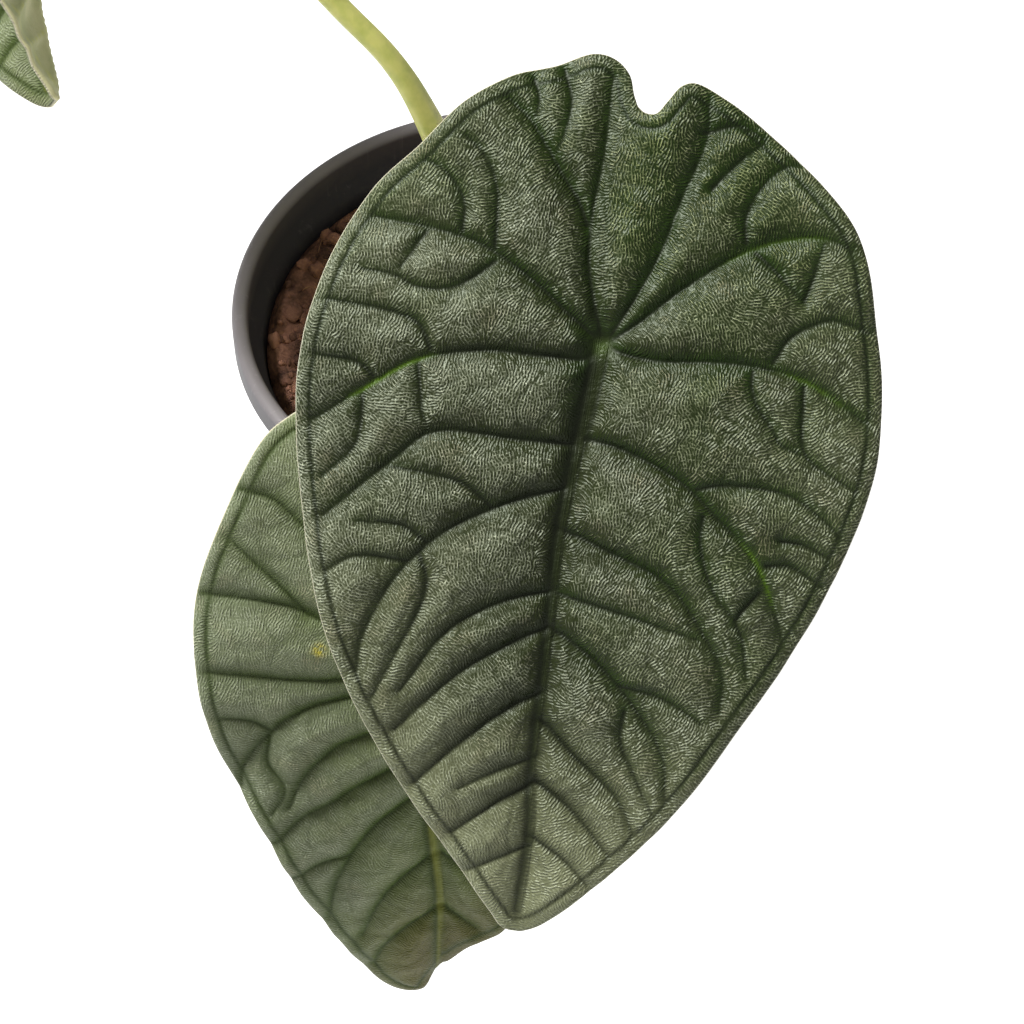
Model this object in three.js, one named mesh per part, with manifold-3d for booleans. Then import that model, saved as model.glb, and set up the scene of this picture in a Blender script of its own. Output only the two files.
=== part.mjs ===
// A potted jewel alocasia: three quilted shield leaves on their petioles, a short stem, the potting
// mix and a round nursery pot. Millimetres, +Z up. The origin is the middle of the pot's underside,
// and the two large leaves lean out over the pot's front, towards -Y.
import * as THREE from 'three';
import { mergeVertices } from 'three/addons/utils/BufferGeometryUtils.js';
import Module from 'manifold-3d';

const wasm = await Module();
wasm.setup();

// Driving dimensions
const CLEARANCE = 0.3;

const POT = {
  height: 105,
  rimRadius: 60,
  rimHeight: 8.5,
  rimWall: 3.6,
  rimRound: 1.8,
  shoulderRadius: 55.6,
  baseRadius: 43,
  footChamfer: 1.5,
  wall: 1.7,
  floor: 3,
  segments: 48,
  drain: { count: 6, radius: 4, circle: 27, sides: 16 },
};

const SOIL = { top: 92, rings: [48, 39, 30, 21, 13], lumpHeight: 1.1, segments: 36 };

const STEM = { bottom: 70, top: 98, buriedRadius: 8, crownRadius: 9.6, segments: 24 };

const PETIOLE = {
  radius: 2.5,
  sheathRadius: 3.9,
  sheathEnd: 0.26,
  sheathFade: 0.14,
  upright: 3,
  neck: 9.4,
  sides: 10,
  steps: 30,
};

const BLADE = {
  thickness: 1.1,
  marginSpacing: 4.2,
  veinSpacing: 5,
  shoulderOffset: 2,
  fillSpacing: 5.6,
  fillScatter: 0.05,
  collectiveInset: 2.8,
  collectiveDepth: 0.7,
  collectiveWidth: 1.1,
  waveHeight: 1.3,
  waveReach: 15,
  creaseSoftness: 0.35,
};

// How near a blade's points may lie to one another, and to its margin
const APART = { vein: 2.2, collective: 2.4, shoulder: 1.8, fill: 3.4, margin: 1.8, fillMargin: 2.6 };

// Depth and width of the sunken veins, and how far each stands out as a rib underneath
const VEIN = {
  midrib: { depth: 2.2, width: 2.6, rib: 1.3 },
  primary: { depth: 1.7, width: 2.3, rib: 0.5 },
  branch: { depth: 1.1, width: 1.8, rib: 0.2 },
};

const COLOUR = {
  pot: 0x2b2b2e,
  soil: 0x4a352b,
  stem: 0x7d7a45,
  petiole: 0xb4b45c,
  leaf: 0x4c5a45,
};

const v3 = (x, y, z) => new THREE.Vector3(x, y, z);

// Leaf patterns. Points are flat millimetres from where the petiole joins the blade: x to the right
// of the midrib and y away from the tip, seen from above with the tip down.
const FRONT_PATTERN = {
  outline: [
    [-9.5, 53], [-5.5, 52.5], [-2.5, 50], [-1, 46], [0.5, 43.6], [3, 43.3], [5, 46], [7, 49],
    [9.5, 50], [16.5, 47.5], [24.5, 43], [35.5, 35], [44, 26], [49.5, 11.5], [52.5, 0], [53.5, -13.5],
    [52, -25.5], [48, -41], [42.5, -54.5], [35.5, -68], [27, -84], [17, -98], [6.5, -110],
    [3, -113], [0, -114.2], [-2.5, -113.7], [-5, -111], [-12.5, -102.5], [-26, -87.5], [-38.5, -70],
    [-45, -57.5], [-50.5, -42], [-55, -22.5], [-55.5, -7], [-52.5, 9.5], [-47, 22], [-39, 31.5],
    [-32, 40.5], [-23.5, 47], [-17, 49.5],
  ],
  midrib: [[[0, 0], [-1.5, -20], [-2.5, -38], [-2, -49], [-1.5, -65], [-1, -84], [0, -93], [0, -110]]],
  primary: [
    [[0, 0], [-4.5, 13], [-5.5, 22], [-5, 35], [-5.5, 49]],
    [[-6, 21], [-10.5, 27.5], [-16, 33], [-22.5, 40.5], [-25, 42]],
    [[0, 0], [4.5, 10], [7, 19], [9, 28], [11, 36], [12.5, 41], [12.5, 47]],
    [[0, 0], [7.5, 6.5], [19.5, 18.5], [23.5, 21], [28.5, 23.5], [37.5, 25.5], [43, 23.5]],
    [[0, 0], [2.5, -1.5], [10, -2], [28.5, 0], [38.5, -2.5], [50, -8.5]],
    [[-2, -18], [6, -19], [18, -23.5], [25.5, -29], [33.5, -35.5], [39, -45], [41, -49.5]],
    [[-2.5, -35.5], [7, -38.5], [18, -42.5], [26, -50.5], [31, -58], [31.5, -65]],
    [[-2, -54], [7.5, -59.5], [16, -67], [22.5, -75.5], [24, -83]],
    [[-1, -72], [5.5, -77.5], [15, -84.5], [19, -90.5]],
    [[-0.5, -84], [6.5, -88], [15, -95.5]],
    [[0, 0], [-6.5, 4], [-13, 8.5], [-21, 13], [-28, 15.5], [-45.5, 17]],
    [[0, 0], [-2, -3], [-10.5, -4], [-21, -4.5], [-33.5, -8], [-43, -15], [-51.5, -22]],
    [[-2, -19.5], [-13, -20.5], [-29, -21.5], [-35.5, -27.5], [-47, -39.5]],
    [[-2.5, -27.5], [-13, -32], [-24, -39], [-32, -49], [-36.5, -61.5], [-36.5, -67]],
    [[-2, -47], [-10.5, -50], [-20.5, -57], [-28, -70]],
    [[-2, -54], [-8, -57.5], [-17.5, -65], [-28, -77.5]],
    [[-1.5, -66.5], [-7.5, -70.5], [-16.5, -79.5], [-23, -87.5]],
    [[-1, -84.5], [-6.5, -88.5], [-14.5, -96]],
  ],
  branch: [
    [[-15.5, 49], [-13, 42.5], [-13.5, 34]],
    [[12.5, 41], [19, 43], [23, 42]],
    [[23.5, 22], [23.5, 27], [27.5, 35.5], [31, 37.5]],
    [[27, 21], [30, 17.5], [36.5, 13.5]],
    [[31.5, 1], [34, 6], [38.5, 9]],
    [[28, -1.5], [30, -7.5], [34.5, -12.5], [38.5, -14.5]],
    [[37.5, -3], [38.5, -9], [42, -16], [50, -20.5]],
    [[20.5, -24], [28, -23], [40, -23], [48.5, -29.5]],
    [[23, -29], [23, -33], [24.5, -38], [28, -44], [32, -47.5]],
    [[35.5, -41.5], [32, -47.5], [33.5, -50.5], [35.5, -58]],
    [[36, -36.5], [40.5, -36], [47, -39]],
    [[-2, -47.5], [8.5, -49], [25.5, -52]],
    [[12, -63], [20.5, -64], [28.5, -67.5]],
    [[14, -67.5], [14, -73], [17, -78.5], [22, -86]],
    [[0, -94.5], [7, -98], [12, -102]],
    [[-21.5, 13.5], [-23.5, 23.5], [-27, 30.5], [-30.5, 33.5]],
    [[-29, 16.5], [-29.5, 22], [-33, 26.5], [-37, 28.5]],
    [[-31.5, -6], [-34.5, -1.5], [-39.5, 0], [-52, 0.5]],
    [[-38, -11], [-44, -10], [-53, -10.5]],
    [[-43, -15.5], [-42.5, -20.5], [-43, -25.5], [-48.5, -32.5]],
    [[-18, -34], [-21, -30.5], [-25, -29.5], [-35, -29]],
    [[-27, -41.5], [-32, -39], [-40.5, -39.5]],
    [[-30, -45.5], [-40, -46], [-45, -49.5]],
    [[-28, -44], [-26, -48.5], [-26.5, -53.5], [-29.5, -62], [-33, -72]],
    [[-1, -79], [-8.5, -83], [-14.5, -87]],
    [[0, -96.5], [-10.5, -103]],
  ],
};

const LEFT_BRANCHES = [
  [[-22, 11], [-26, 16.5], [-32, 23.5], [-36.5, 29]],
  [[-32, -14.5], [-35.5, -12], [-42, -10.5]],
  [[-32, -16], [-33, -22.5], [-30, -29.5], [-33, -35]],
  [[-18, -49], [-24.5, -50], [-30, -53]],
];
const LEFT_PRIMARIES = [
  [[0, 0], [-5, 14], [-7, 28], [-8, 42], [-10, 52]],
  [[0, 0], [-6, 10], [-14, 21], [-22, 30.5], [-27, 36], [-33, 38.5]],
  [[0, 0], [-8, 4.5], [-20, 10], [-25, 13], [-32, 15], [-42.5, 16.5]],
  [[0, 0], [-10, -3.5], [-18.5, -4], [-27.5, -3], [-43, 0]],
  [[-0.5, -9], [-8, -8.5], [-16, -8.5], [-23.5, -10], [-30.5, -14], [-38, -23.5], [-39, -29]],
  [[-0.5, -16], [-13, -18], [-18.5, -20], [-26, -27], [-29.5, -34]],
  [[-0.5, -25], [-12, -29], [-21.5, -34.5], [-27, -37], [-33, -43]],
  [[-0.5, -33], [-7, -37.5], [-13, -42.5], [-21, -56], [-23.5, -68]],
  [[-0.5, -52], [-9, -59.5], [-13, -65.5], [-17, -76]],
  [[0, -69], [-7.5, -74.5], [-12, -80], [-15, -87.5]],
];

/** Flips a list of paths to the other side of the midrib. */
function mirrored(paths) {
  return paths.map((path) => path.map(([x, y]) => [-x, y]));
}

/** Shrinks and flips a whole leaf pattern. */
function mirroredPattern(pattern, scale) {
  const flip = (path) => path.map(([x, y]) => [-x * scale, y * scale]);
  return {
    outline: flip(pattern.outline).reverse(),
    midrib: pattern.midrib.map(flip),
    primary: pattern.primary.map(flip),
    branch: pattern.branch.map(flip),
  };
}

const LOWER_PATTERN = {
  outline: [
    [2.5, 44], [0, 45], [-2.5, 50], [-8, 56], [-14, 56.5], [-21.5, 53], [-28, 48.5], [-37.5, 33],
    [-44.5, 16.5], [-45.8, 5], [-45.2, -8], [-43, -20], [-39.3, -30.5], [-34.7, -42], [-29.3, -57.5],
    [-22, -77], [-15.5, -92.5], [-11, -99], [-7.5, -101.2], [-4.8, -100.9], [-2.4, -96.5],
    [0.4, -91.8], [5.6, -83.2], [12, -77.5], [24, -60], [34, -42], [40.5, -24], [43, -6], [42, 10],
    [38, 25], [31, 39], [22, 49], [13, 54.5], [7, 54], [4, 49],
  ],
  midrib: [[[0, 0], [-0.5, -24], [-0.5, -47], [0, -64], [-1.5, -95]]],
  primary: [...LEFT_PRIMARIES, ...mirrored(LEFT_PRIMARIES.slice(0, -1)), [[0, -69], [7, -76]]],
  branch: [...LEFT_BRANCHES, ...mirrored(LEFT_BRANCHES)],
};

// Where each leaf stands: the point on its upper face above the petiole, the way its tip points, the
// way it faces, how far each half is folded up at the midrib, and how fast it bends down to its
// sides and to its ends, in radians a millimetre.
const LEAVES = [
  {
    name: 'leaf_1',
    pattern: FRONT_PATTERN,
    hub: v3(18.6, -120.2, 224.8),
    tip: v3(-0.183, -0.733, -0.656),
    face: v3(-0.022, -0.664, 0.748),
    fold: 6,
    sideBend: 0.0045,
    endBend: 0.0022,
    petiole: [[3.7, -3.5], [4.3, -6, 108], [7, -22, 134], [11, -56, 171], [15.5, -91, 200]],
  },
  {
    name: 'leaf_2',
    pattern: LOWER_PATTERN,
    hub: v3(-18.5, -118.2, 129.3),
    tip: v3(0.029, -0.427, -0.904),
    face: v3(0.038, -0.903, 0.428),
    fold: 6,
    sideBend: 0.005,
    endBend: 0.0056,
    petiole: [[-4.6, -3.9], [-5.2, -6, 107], [-8, -24, 130], [-12, -55, 146], [-16, -86, 141],
      [-18.4, -103, 128.5]],
  },
  {
    name: 'leaf_3',
    pattern: mirroredPattern(FRONT_PATTERN, 0.86),
    hub: v3(-98, 59, 243),
    tip: v3(-0.06, -0.92, -0.39),
    face: v3(-0.9, -0.1, 0.42),
    fold: 40,
    sideBend: 0.004,
    endBend: 0.003,
    petiole: [[-1, 5.6], [-2, 6.2, 108], [-14.7, 11.8, 151.4], [-21.6, 15.3, 165.2],
      [-33.5, 21.3, 178], [-65, 40, 212]],
  },
];

/** Keeps the positions and triangles alone, joins equal vertices and drops collapsed triangles. */
function weld(geometry) {
  const bare = new THREE.BufferGeometry();
  bare.setAttribute('position', geometry.getAttribute('position'));
  bare.setIndex(geometry.getIndex());
  const welded = mergeVertices(bare, 1e-4);
  const corners = welded.getIndex().array;
  const kept = [];
  for (let i = 0; i < corners.length; i += 3) {
    const [a, b, c] = corners.slice(i, i + 3);
    if (a !== b && b !== c && c !== a) kept.push(a, b, c);
  }
  welded.setIndex(kept);
  return welded;
}

/** Turns a closed geometry into a solid that can be cut. */
function toSolid(geometry) {
  const welded = weld(geometry);
  return new wasm.Manifold(new wasm.Mesh({
    numProp: 3,
    vertProperties: new Float32Array(welded.getAttribute('position').array),
    triVerts: new Uint32Array(welded.getIndex().array),
  }));
}

/** Turns a cut solid back into a geometry. */
function toGeometry(solid) {
  const { vertProperties, triVerts } = solid.getMesh();
  const geometry = new THREE.BufferGeometry();
  geometry.setAttribute('position', new THREE.BufferAttribute(vertProperties, 3));
  geometry.setIndex(new THREE.BufferAttribute(triVerts, 1));
  return geometry;
}

/** Revolves a profile of [radius, height] points about Z. */
function revolved(profile, segments) {
  const points = profile.map(([radius, height]) => new THREE.Vector2(radius, height));
  return new THREE.LatheGeometry(points, segments).rotateX(Math.PI / 2);
}

/** An upright round hole's cutter. */
function upright(radius, bottom, top, x = 0, y = 0) {
  const length = top - bottom;
  const cutter = new THREE.CylinderGeometry(radius, radius, length, POT.drain.sides);
  return cutter.rotateX(Math.PI / 2).translate(x, y, (top + bottom) / 2);
}

/** The inner wall's radius at a height inside the pot. */
function innerRadius(height) {
  const rise = (height - POT.floor) / (POT.height - POT.rimHeight - POT.floor);
  return THREE.MathUtils.lerp(POT.baseRadius, POT.shoulderRadius, rise) - POT.wall;
}

/** A tapered plastic pot with a thick rolled rim and drain holes in its floor. */
function potGeometry() {
  const { height, rimRadius, rimWall, rimRound, baseRadius, footChamfer, floor, drain } = POT;
  const rimBottom = height - POT.rimHeight;
  const corner = (radius, level, from) => [0, 45, 90].map((step) => {
    const angle = THREE.MathUtils.degToRad(from + step);
    return [radius + rimRound * Math.cos(angle), level + rimRound * Math.sin(angle)];
  });
  const profile = [
    [0, 0],
    [baseRadius - footChamfer, 0],
    [baseRadius, footChamfer],
    [POT.shoulderRadius, rimBottom],
    [rimRadius - 0.8, rimBottom + 0.4],
    [rimRadius, rimBottom + 1.4],
    ...corner(rimRadius - rimRound, height - rimRound, 0),
    ...corner(rimRadius - rimWall + rimRound, height - rimRound, 90).slice(1),
    [innerRadius(rimBottom), rimBottom - 1],
    [innerRadius(floor), floor],
    [0, floor],
  ];
  let pot = toSolid(revolved(profile, POT.segments));
  for (let i = 0; i < drain.count; i += 1) {
    const angle = (2 * Math.PI * i) / drain.count;
    const x = drain.circle * Math.cos(angle);
    const y = drain.circle * Math.sin(angle);
    pot = pot.subtract(toSolid(upright(drain.radius, -1, floor + 1, x, y)));
  }
  return toGeometry(pot);
}

/** How far the potting mix stands above or below its level at a place. */
function soilLump(x, y) {
  const broad = Math.sin(0.31 * x + 1.3) * Math.cos(0.27 * y);
  const fine = 0.6 * Math.sin(0.53 * x - 0.41 * y + 0.5);
  return SOIL.lumpHeight * (broad + fine);
}

/** The potting mix, with an uneven top and a plain hole for the stem. */
function soilGeometry() {
  const bottom = POT.floor + CLEARANCE;
  const profile = [
    [0, bottom],
    [innerRadius(bottom) - CLEARANCE, bottom],
    [innerRadius(SOIL.top) - CLEARANCE, SOIL.top],
    ...SOIL.rings.map((radius) => [radius, SOIL.top]),
    [0, SOIL.top],
  ];
  const geometry = revolved(profile, SOIL.segments);
  const position = geometry.getAttribute('position');
  for (let i = 0; i < position.count; i += 1) {
    const [x, y, z] = [position.getX(i), position.getY(i), position.getZ(i)];
    if (z > SOIL.top - 1 && Math.hypot(x, y) < SOIL.rings[0] + 1) {
      position.setZ(i, SOIL.top + soilLump(x, y));
    }
  }
  const hole = upright(STEM.crownRadius + CLEARANCE, STEM.bottom - CLEARANCE, SOIL.top + 10);
  return toGeometry(toSolid(geometry).subtract(toSolid(hole)));
}

/** The short upright stem, ringed by old leaf scars, that the petioles stand on. */
function stemGeometry() {
  const { bottom, top, buriedRadius, crownRadius } = STEM;
  const profile = [
    [0, bottom],
    [buriedRadius - 1.5, bottom],
    [buriedRadius, bottom + 2],
    [buriedRadius + 0.6, SOIL.top - 4],
    [crownRadius - 0.9, SOIL.top],
    [crownRadius - 0.1, SOIL.top + 1],
    [crownRadius - 0.8, SOIL.top + 2.4],
    [crownRadius, top - 1.6],
    [crownRadius - 0.4, top],
    [0, top],
  ];
  return weld(revolved(profile, STEM.segments));
}

/** Right-handed axes of a leaf: across, towards the sinus, and out of its upper face. */
function leafAxes(leaf) {
  const back = leaf.tip.clone().normalize().negate();
  const face = leaf.face.clone().addScaledVector(back, -leaf.face.dot(back)).normalize();
  return { across: back.clone().cross(face), back, face };
}

/** Maps flat leaf coordinates, and a height above the blade, onto the folded and bent blade. */
function onBlade(leaf, x, y, height) {
  const { across, back, face } = leafAxes(leaf);
  const fold = THREE.MathUtils.degToRad(leaf.fold);
  const slope = fold - leaf.sideBend * Math.abs(x);
  const side = Math.sign(x);
  const reach = (side * (Math.sin(fold) - Math.sin(slope))) / leaf.sideBend;
  const lift = (Math.cos(slope) - Math.cos(fold)) / leaf.sideBend;
  const turn = leaf.endBend * y;
  const up = back.clone().multiplyScalar(Math.sin(turn)).addScaledVector(face, Math.cos(turn));
  return leaf.hub.clone()
    .addScaledVector(across, reach - height * side * Math.sin(slope))
    .addScaledVector(back, Math.sin(turn) / leaf.endBend)
    .addScaledVector(face, (Math.cos(turn) - 1) / leaf.endBend)
    .addScaledVector(up, lift + height * Math.cos(slope));
}

/** A smooth curve through flat points. */
function smooth(path, closed) {
  const points = path.map(([x, y]) => v3(x, y, 0));
  return new THREE.CatmullRomCurve3(points, closed, 'centripetal');
}

/** Points at an even spacing along a flat path. */
function spaced(path, closed, spacing) {
  const curve = smooth(path, closed);
  const steps = Math.max(2, Math.round(curve.getLength() / spacing));
  const points = curve.getSpacedPoints(steps).map((point) => [point.x, point.y]);
  return closed ? points.slice(0, -1) : points;
}

/** Distance from a point to a polyline, and how far along it the nearest place lies, 0 to 1. */
function nearest(line, x, y, closed = false) {
  let best = { distance: Infinity, along: 0 };
  const count = closed ? line.length : line.length - 1;
  for (let i = 0; i < count; i += 1) {
    const [ax, ay] = line[i];
    const [bx, by] = line[(i + 1) % line.length];
    const squared = (bx - ax) ** 2 + (by - ay) ** 2;
    const part = THREE.MathUtils.clamp(((x - ax) * (bx - ax) + (y - ay) * (by - ay)) / squared, 0, 1);
    const distance = Math.hypot(x - ax - part * (bx - ax), y - ay - part * (by - ay));
    if (distance < best.distance) best = { distance, along: (i + part) / count };
  }
  return best;
}

/** Whether a flat point lies inside a closed polyline. */
function isInside(line, x, y) {
  let inside = false;
  line.forEach(([ax, ay], i) => {
    const [bx, by] = line[(i + 1) % line.length];
    if (ay > y !== by > y && x < ((bx - ax) * (y - ay)) / (by - ay) + ax) inside = !inside;
  });
  return inside;
}

/** The veins of a pattern as polylines with their sizes. */
function veinLines(pattern) {
  return Object.keys(VEIN).flatMap((kind) => pattern[kind].map((path) => ({
    ...VEIN[kind],
    line: spaced(path, false, BLADE.veinSpacing),
  })));
}

/** The quilted height of the upper face and the rib under it at a flat point. */
function quilting(margin, veins, x, y) {
  let groove = 0;
  let rib = 0;
  for (const vein of veins) {
    const { distance, along } = nearest(vein.line, x, y);
    const off = Math.hypot(distance, BLADE.creaseSoftness) - BLADE.creaseSoftness;
    const fade = (1 - 0.4 * along) * Math.exp(-off / vein.width);
    groove = Math.max(groove, vein.depth * fade);
    rib = Math.max(rib, vein.rib * fade);
  }
  const edge = nearest(margin, x, y, true).distance;
  const inset = Math.abs(edge - BLADE.collectiveInset);
  groove = Math.max(groove, BLADE.collectiveDepth * Math.exp(-inset / BLADE.collectiveWidth));
  const reach = 1 - THREE.MathUtils.smoothstep(edge, 0, BLADE.waveReach);
  const wave = BLADE.waveHeight * Math.sin(7 * Math.atan2(x, y) + 0.6) * reach;
  return { height: wave - groove, rib };
}

/** Points of a blade: its margin, along and beside the veins, inside the margin, and a fill. */
function bladePoints(margin, veins) {
  const points = [...margin];
  const clearOf = (x, y, gap) => points.every(([px, py]) => Math.hypot(px - x, py - y) > gap);
  const add = (x, y, gap, inset) => {
    const inside = isInside(margin, x, y) && nearest(margin, x, y, true).distance > inset;
    if (inside && clearOf(x, y, gap)) points.push([x, y]);
  };
  const beside = (line, offset, gap, inset) => line.forEach(([x, y], i) => {
    const [bx, by] = line[Math.max(0, i - 1)];
    const [ax, ay] = line[Math.min(line.length - 1, i + 1)];
    const length = Math.hypot(ax - bx, ay - by);
    add(x - (offset * (ay - by)) / length, y + (offset * (ax - bx)) / length, gap, inset);
  });
  veins.forEach(({ line }) => beside(line, 0, APART.vein, APART.margin));
  const loop = [...margin, margin[0]];
  beside(loop, BLADE.collectiveInset, APART.collective, APART.margin);
  beside(loop, -BLADE.collectiveInset, APART.collective, APART.margin);
  veins.forEach(({ line }) => [1, -1].forEach((side) => {
    beside(line, side * BLADE.shoulderOffset, APART.shoulder, APART.margin);
  }));
  const column = BLADE.fillSpacing;
  const row = (column * Math.sqrt(3)) / 2;
  const reach = new THREE.Box2().setFromPoints(margin.map(([x, y]) => new THREE.Vector2(x, y)));
  for (let j = Math.floor(reach.min.y / row); j * row < reach.max.y; j += 1) {
    for (let i = Math.floor(reach.min.x / column); i * column < reach.max.x; i += 1) {
      const shift = (j % 2) / 2 + BLADE.fillScatter * Math.sin(3 * i + 5 * j);
      add((i + shift) * column, j * row, APART.fill, APART.fillMargin);
    }
  }
  return points;
}

/** Delaunay triangles of flat points, each counter-clockwise, by adding the points one by one. */
function triangulated(points) {
  const far = 1000;
  const all = [...points, [-far, -far], [far, -far], [0, far]];
  const circle = (a, b, c) => {
    const [[ax, ay], [bx, by], [cx, cy]] = [all[a], all[b], all[c]];
    const twice = 2 * (ax * (by - cy) + bx * (cy - ay) + cx * (ay - by));
    const [a2, b2, c2] = [ax * ax + ay * ay, bx * bx + by * by, cx * cx + cy * cy];
    const x = (a2 * (by - cy) + b2 * (cy - ay) + c2 * (ay - by)) / twice;
    const y = (a2 * (cx - bx) + b2 * (ax - cx) + c2 * (bx - ax)) / twice;
    return { corners: [a, b, c], x, y, radius: Math.hypot(ax - x, ay - y) };
  };
  const count = points.length;
  let triangles = [circle(count, count + 1, count + 2)];
  points.forEach(([x, y], added) => {
    const hit = triangles.filter((t) => Math.hypot(t.x - x, t.y - y) < t.radius);
    const edges = new Set();
    hit.forEach(({ corners: [a, b, c] }) => [[a, b], [b, c], [c, a]].forEach(([from, to]) => {
      if (!edges.delete(`${to} ${from}`)) edges.add(`${from} ${to}`);
    }));
    triangles = triangles.filter((t) => !hit.includes(t));
    edges.forEach((edge) => triangles.push(circle(...edge.split(' ').map(Number), added)));
  });
  return triangles.map((t) => t.corners).filter((corners) => corners.every((c) => c < count));
}

/** The closed blade: the upper face, the same triangles underneath, and the edge between them. */
function bladeGeometry(leaf) {
  const margin = spaced(leaf.pattern.outline, true, BLADE.marginSpacing);
  const veins = veinLines(leaf.pattern);
  const points = bladePoints(margin, veins);
  const triangles = triangulated(points).filter((corners) => {
    const x = corners.reduce((sum, c) => sum + points[c][0], 0) / 3;
    const y = corners.reduce((sum, c) => sum + points[c][1], 0) / 3;
    return isInside(margin, x, y);
  });
  const upper = [];
  const lower = [];
  points.forEach(([x, y]) => {
    const { height, rib } = quilting(margin, veins, x, y);
    upper.push(...onBlade(leaf, x, y, height));
    lower.push(...onBlade(leaf, x, y, height - BLADE.thickness - rib));
  });
  const count = points.length;
  const index = [];
  const rim = new Map();
  triangles.forEach(([a, b, c]) => {
    index.push(a, b, c, a + count, c + count, b + count);
    [[a, b], [b, c], [c, a]].forEach(([from, to]) => {
      if (!rim.delete(`${to} ${from}`)) rim.set(`${from} ${to}`, [from, to]);
    });
  });
  rim.forEach(([from, to]) => {
    index.push(to, from, from + count, to, from + count, to + count);
  });
  const geometry = new THREE.BufferGeometry();
  geometry.setAttribute('position', new THREE.Float32BufferAttribute([...upper, ...lower], 3));
  geometry.setIndex(index);
  return geometry;
}

/** The petiole's middle line, from the top of the stem to just under the blade. */
function petioleCurve(leaf) {
  const [[footX, footY], ...rest] = leaf.petiole;
  const { face } = leafAxes(leaf);
  const under = (distance) => leaf.hub.clone().addScaledVector(face, -distance);
  const midribDepth = VEIN.midrib.depth + BLADE.thickness + VEIN.midrib.rib;
  return new THREE.CatmullRomCurve3([
    v3(footX, footY, STEM.top + CLEARANCE),
    v3(footX, footY, STEM.top + CLEARANCE + PETIOLE.upright),
    ...rest.map((point) => v3(...point)),
    under(PETIOLE.neck),
    under(midribDepth * Math.cos(THREE.MathUtils.degToRad(leaf.fold)) + CLEARANCE),
  ], false, 'centripetal');
}

/** A round petiole that widens into its sheath towards the stem. */
function petioleGeometry(leaf) {
  const curve = petioleCurve(leaf);
  const section = new THREE.Shape(Array.from({ length: PETIOLE.sides }, (_, side) => {
    const angle = (2 * Math.PI * side) / PETIOLE.sides;
    return new THREE.Vector2(PETIOLE.radius * Math.cos(angle), PETIOLE.radius * Math.sin(angle));
  }));
  const options = { steps: PETIOLE.steps, bevelEnabled: false, extrudePath: curve };
  const geometry = weld(new THREE.ExtrudeGeometry(section, options));
  const middle = curve.getSpacedPoints(PETIOLE.steps);
  const position = geometry.getAttribute('position');
  const vertex = v3(0, 0, 0);
  for (let i = 0; i < position.count; i += 1) {
    vertex.fromBufferAttribute(position, i);
    const gaps = middle.map((point) => point.distanceTo(vertex));
    const step = gaps.indexOf(Math.min(...gaps));
    const { sheathEnd, sheathFade, sheathRadius, radius } = PETIOLE;
    const along = step / PETIOLE.steps;
    const sheath = 1 - THREE.MathUtils.smoothstep(along, sheathEnd - sheathFade, sheathEnd + sheathFade);
    vertex.sub(middle[step]).multiplyScalar(1 + sheath * (sheathRadius / radius - 1));
    vertex.add(middle[step]);
    position.setXYZ(i, vertex.x, vertex.y, vertex.z);
  }
  return geometry;
}

/** One named sub-part in its own colour. */
function part(name, geometry, colour, roughness) {
  const material = new THREE.MeshStandardMaterial({ color: colour, roughness, metalness: 0 });
  const mesh = new THREE.Mesh(geometry, material);
  mesh.name = name;
  return mesh;
}

const plant = new THREE.Group();
plant.add(part('pot', potGeometry(), COLOUR.pot, 0.45));
plant.add(part('soil', soilGeometry(), COLOUR.soil, 0.95));
plant.add(part('stem', stemGeometry(), COLOUR.stem, 0.7));
LEAVES.forEach((leaf) => {
  plant.add(part(leaf.name.replace('leaf', 'petiole'), petioleGeometry(leaf), COLOUR.petiole, 0.5));
  plant.add(part(leaf.name, bladeGeometry(leaf), COLOUR.leaf, 0.55));
});

export default plant;
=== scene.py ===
"""The looks of a potted jewel alocasia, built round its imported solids.

Shapes are worked out in millimetres and their meshes hold metres, in the frame of the solids: +Z up,
the origin in the middle of the pot's underside, the two large leaves towards -Y. A leaf is drawn flat
first, x to the right of its midrib and y away from its tip, and is then folded and bent into place.
"""

import logging
import math
from collections.abc import Callable, Mapping, Sequence
from dataclasses import dataclass, field
from enum import Enum

import bmesh
import bpy
import numpy as np
from mathutils import Matrix, Vector, noise
from mathutils.geometry import delaunay_2d_cdt


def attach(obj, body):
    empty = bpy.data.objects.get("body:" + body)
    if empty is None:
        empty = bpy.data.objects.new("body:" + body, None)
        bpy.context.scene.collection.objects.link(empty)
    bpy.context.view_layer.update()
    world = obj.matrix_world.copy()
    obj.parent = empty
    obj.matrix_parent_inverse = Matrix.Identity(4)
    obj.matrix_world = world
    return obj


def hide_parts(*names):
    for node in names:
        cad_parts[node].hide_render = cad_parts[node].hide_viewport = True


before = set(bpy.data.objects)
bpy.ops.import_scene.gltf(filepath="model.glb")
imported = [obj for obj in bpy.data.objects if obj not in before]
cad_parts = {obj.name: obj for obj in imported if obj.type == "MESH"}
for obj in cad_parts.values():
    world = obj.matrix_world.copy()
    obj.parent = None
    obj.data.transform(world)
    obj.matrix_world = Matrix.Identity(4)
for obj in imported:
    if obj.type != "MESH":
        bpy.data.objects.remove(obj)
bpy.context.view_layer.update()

MM = 0.001
CLEARANCE = 0.3
SOIL_LEVEL = 92.0
STEM_TOP = 98.0
MARGIN_STEP = 0.55
log = logging.getLogger("alocasia")

Points = np.ndarray
Colour = tuple[float, float, float]
FlatPath = tuple[tuple[float, float], ...]
Place = tuple[float, float, float]
Faces = list[Sequence[int]]


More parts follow.
